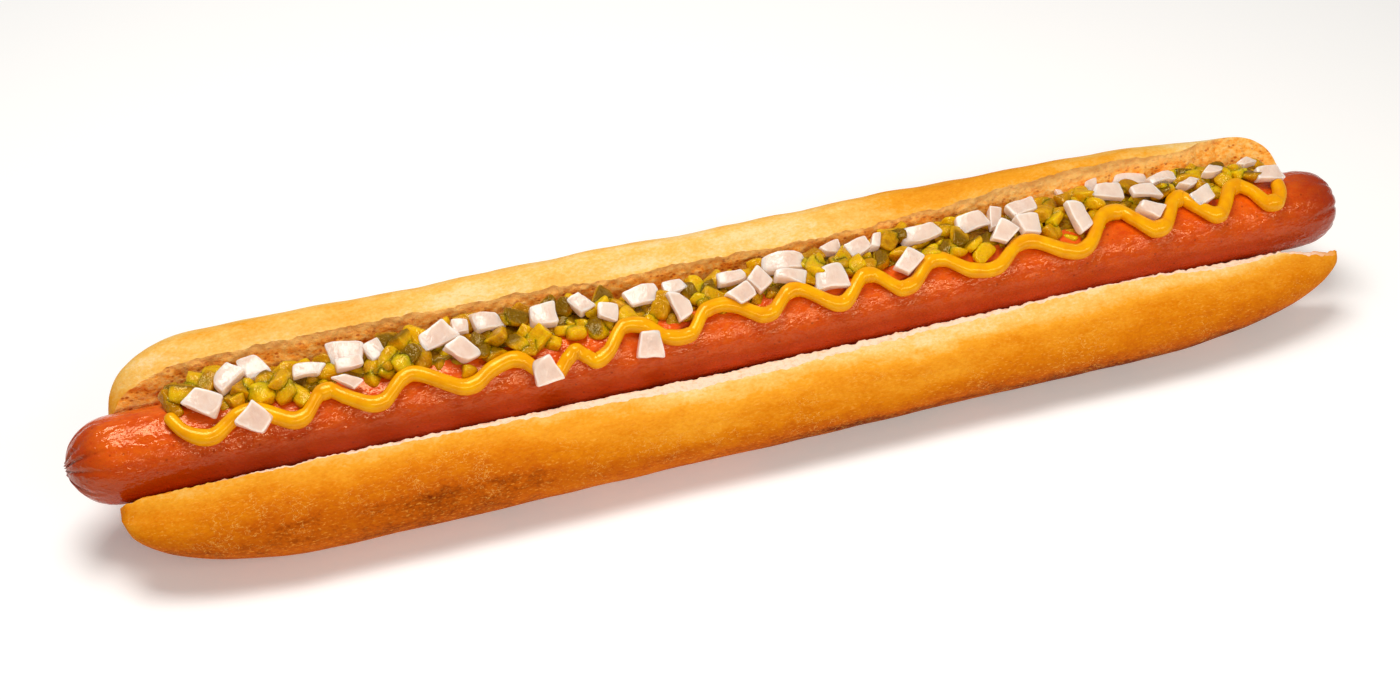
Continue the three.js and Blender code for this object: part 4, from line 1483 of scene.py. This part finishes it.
@dataclass
class Relish:
    """Chopped pickle in the gutter between the sausage and the far half of the bun."""

    left: float = -128.0
    right: float = 131.0
    near_edge: tuple[Point, ...] = (
        (-130, 0.2), (-122, -0.6), (-114, -3), (-102, -4.2), (-97, -1.1), (-90, -2.8),
        (-82, -4.2), (-79, -2.2), (-67, -5.4), (-48, -4.2), (-41, -5), (-28, -2.8), (-20, -4.2),
        (-15, -1.8), (-12, -4.8), (-6, -2.4), (-1, -4.4), (4, -2.6), (12, -3.2), (20, -2.2),
        (27, -3.2), (32, -1.6), (41, -2.6), (48, -4.4), (55, -4.8), (62, -3), (75, -4.6),
        (83, -2), (90, 0), (102, 0), (109, -1), (127, 1), (132, 3),
    )
    far_edge: tuple[Point, ...] = (
        (-130, 4), (-124, 8.5), (-117, 9.5), (-110, 7), (-98, 6), (-92, 9), (-86, 7.4), (-77, 9),
        (-68, 10.5), (-46, 10.4), (-38, 9.4), (-30, 6.4), (-8, 6.6), (4, 9.5), (14, 8),
        (28, 10), (36, 11.5), (55, 11.8), (80, 12.4), (104, 13.4), (118, 13), (127, 10),
        (132, 6),
    )
    edge_insets: Point = (1.4, -1.2)
    pitch: float = 0.86
    lanes: tuple[float, ...] = (0.04, 0.62, 0.3, 0.92, 0.46, 0.14, 0.76)
    lane_sway: float = 0.08
    size: Size = (6.4, 5.0, 3.6)
    spread: Point = (0.6, 1.12)
    power: Point = (4.5, 12.0)
    cuts: int = 6
    cut_reach: Point = (0.75, 1.15)
    bend: float = 0.09
    lumps: Grain = Grain(0.26, (1.9, 1.9, 1.9), 2, 51)
    apart: float = 40.0
    rind_share: float = 0.3
    rind: Rise = Rise(1.0, 0.35, 0.8)
    tone: Point = (0.05, 1.0)
    turns: Size = (180.0, 50.0, 40.0)
    lift: Point = (-1.1, 0.6)
    under_die: float = 2.0
    die_reach: Point = (0.21, 1.9)
    die_gap: float = 0.6
    seed: int = 9

    # the wet mass under the bits, darkened in tone and skin colour as painted shade, most in its
    # hollows
    bed_arc: Point = (101.0, 24.0)
    bed_top: tuple[Point, ...] = ((10.6, 24.6), (11.0, 27.6), (8.8, 29.2), (4.4, 30.6), (-0.6, 31.0))
    bed_sides: int = 44
    bed_stations: int = 380
    bed_inset: float = 2.0
    bed_rounding: float = 7.0
    bed_lumps: Grain = Grain(1.0, (4.0, 3.0, 3.0), 3, 31)
    bed_relief: Point = (0.55, -0.3)
    bed_tone: Point = (0.1, 0.3)
    bed_skin: Point = (0.4, 0.8)

    def bed(self) -> bpy.types.Object:
        """Builds the wet mass under the bits that show, darkened as painted shade, most in its
        hollows.

        Returns:
            The bed as a mesh object.
        """
        angles = np.radians(np.linspace(*self.bed_arc, 16))
        under = np.stack([np.cos(angles), np.sin(angles)], axis=1) * (SAUSAGE_RADIUS - 0.2)
        under[:, 1] += SAUSAGE_HEIGHT
        section = even_line(np.vstack([self.bed_top, under]), self.bed_sides, True)
        inset = self.bed_inset
        x = np.linspace(self.left + inset, self.right - inset, self.bed_stations)
        centre = section.mean(axis=0)
        grid_x = np.repeat(x, len(section))
        flat = np.tile(section, (len(x), 1)) - centre
        inside = np.minimum(grid_x - x[0], x[-1] - grid_x) / self.bed_rounding
        flat *= np.sqrt(np.clip(inside, 0.02, 1.0))[:, None]
        points = np.column_stack([grid_x, centre + flat])
        lumps = self.bed_lumps.at(points)
        height, sunk = self.bed_relief
        points[:, 1:] += unit_rows(flat) * (lumps * height + sunk)[:, None]
        bed = write_tube("relish_bed", points, len(section))
        # painted shade: lower tone and more dark skin colour where the lumps sink into hollows
        tone, skin = self.bed_tone, self.bed_skin
        write_shade(bed, "tone", np.clip(tone[0] + tone[1] * lumps, 0.0, 1.0))
        write_shade(bed, "skin", np.clip(skin[0] - lumps, 0.0, skin[1]))
        finish = RelishFinish(name="relish_bed").make()
        return hand_over(bed, "relish", "relish_and_onion", finish=finish)

    def covered(self, along: float, across: float, dice: Sequence[Sequence[float]]) -> bool:
        """Whether a die of onion lies over a place.

        Args:
            along: the place along the hot dog.
            across: the place across it.
            dice: the dice, whose first numbers are their places, lifts and sizes.

        Returns:
            Whether one of them does.
        """
        share, margin = self.die_reach
        return any(
            math.hypot(along - die_along, across - die_across) < share * (length + width) + margin
            for die_along, die_across, _, length, width, *_ in dice
        )

    def chopped(self, dice: Sequence[Sequence[float]]) -> bpy.types.Object:
        """Builds the bits that lie on the bed.

        Args:
            dice: the dice of onion, whose first numbers are their places, lifts and sizes.

        Returns:
            All the bits as one mesh object.
        """
        draws = Draws(self.seed)
        pile = Pile(Block())
        edges = [np.array(edge, float) for edge in (self.near_edge, self.far_edge)]
        for i in range(round((self.right - self.left) / self.pitch)):
            along = self.left + self.pitch * (i + draws.one())
            lane = self.lanes[i % len(self.lanes)] + draws.around(self.lane_sway)
            start, end = (
                np.interp(along, *edge.T) + inset for edge, inset in zip(edges, self.edge_insets)
            )
            across = start + (end - start) * min(max(lane, 0.0), 1.0)
            half = np.array([size * draws.between(*self.spread) / 2 for size in self.size])
            cuts = []
            for _ in range(self.cuts):
                cut = np.array([draws.around(1.0) for _ in range(3)])
                cuts.append(cut / np.linalg.norm(cut) * draws.between(*self.cut_reach))
            unit = pile.block.shaped(draws.between(*self.power), cuts)
            points = unit * half
            points[:, 2] += draws.around(self.bend) * points[:, 0] ** 2
            points += self.lumps.at(points + self.apart * i)[:, None]
            skin = self.rind.at(unit[:, 2]) * float(draws.one() < self.rind_share)
            tone = np.full(len(points), draws.between(*self.tone))
            points = turned(points, *(draws.around(limit) for limit in self.turns))
            rest = rest_height(across)
            height = rest + draws.between(*self.lift)
            if self.covered(along, across, dice):
                height = min(height, rest - self.die_gap) - self.under_die
            pile.add(points + np.array([along, across, height]), tone=tone, skin=skin)
        made = pile.write("relish")
        return hand_over(made, "relish", "relish_and_onion", finish=RelishFinish().make())


# ------------------------------------------------------------------------------ studio


@dataclass(frozen=True)
class Lamp:
    """One soft light: where it hangs, its sides in millimetres, its watts and its tint."""

    name: str
    place: Size
    sides: Point
    watts: float
    tint: Size

    def hang(self, target: Vector) -> None:
        """Hangs the light so that it faces a place.

        Args:
            target: the place, in millimetres.
        """
        data = bpy.data.lights.new(self.name, "AREA")
        data.shape = "RECTANGLE"
        data.size, data.size_y = (side * MM for side in self.sides)
        data.energy, data.color = self.watts, self.tint
        lamp = bpy.data.objects.new(self.name, data)
        lamp.location = Vector(self.place) * MM
        lamp.rotation_euler = (target * MM - lamp.location).to_track_quat("-Z", "Y").to_euler()
        bpy.context.scene.collection.objects.link(lamp)


@dataclass
class Studio:
    """The pale floor, the soft lights and the camera."""

    target: Size = (-14.35, 0.0, 16.94)
    azimuth: float = -18.58
    elevation: float = 40.0
    distance: float = 394.7
    lens: float = 45.0
    sensor: float = 36.0
    sky: float = 0.22
    floor_size: float = 4000.0
    lamps: tuple[Lamp, ...] = (
        Lamp("key_light", (-85.0, 60.0, 560.0), (240.0, 300.0), 2.45, (1.0, 0.97, 0.93)),
        Lamp("front_light", (120.0, -420.0, 330.0), (560.0, 54.0), 1.15, (1.0, 0.91, 0.78)),
    )

    def floor(self) -> None:
        """Lays the floor under the bun."""
        corners = np.array([(-1, -1, 0), (1, -1, 0), (1, 1, 0), (-1, 1, 0)]) * self.floor_size / 2
        floor = write_mesh("floor", corners, [[0, 1, 2, 3]])
        floor.data.materials.append(FloorFinish().make())

    def camera(self) -> None:
        """Sets up the camera."""
        turn, rise = math.radians(self.azimuth), math.radians(self.elevation)
        level = math.cos(rise)
        back = Vector((math.sin(turn) * level, -math.cos(turn) * level, math.sin(rise)))
        data = bpy.data.cameras.new("camera")
        data.lens, data.sensor_width = self.lens, self.sensor
        data.clip_start, data.clip_end = 0.01, 20.0
        camera = bpy.data.objects.new("camera", data)
        camera.location = (Vector(self.target) + back * self.distance) * MM
        camera.rotation_euler = (-back).to_track_quat("-Z", "Y").to_euler()
        bpy.context.scene.collection.objects.link(camera)
        bpy.context.scene.camera = camera

    def build(self) -> None:
        """Sets up the camera, the floor, the lights and the sky."""
        self.camera()
        self.floor()
        for lamp in self.lamps:
            lamp.hang(Vector(self.target))
        world = bpy.data.worlds.new("studio")
        world.use_nodes = True
        sky = world.node_tree.nodes["Background"]
        sky.inputs["Color"].default_value = WHITE
        sky.inputs["Strength"].default_value = self.sky
        scene = bpy.context.scene
        scene.world = world
        scene.view_settings.view_transform = "Standard"
        log.info("studio: camera, floor, %d lights and sky", len(self.lamps))


def main() -> None:
    """Builds the hot dog piece by piece."""
    logging.basicConfig(level=logging.INFO, format="%(message)s")
    Studio().build()
    Bun().build()
    Sausage().build()
    Mustard().build()
    onions = Onions()
    relish = Relish()
    relish.bed()
    relish.chopped(onions.heap)
    onions.build()


if __name__ == "__main__":
    main()
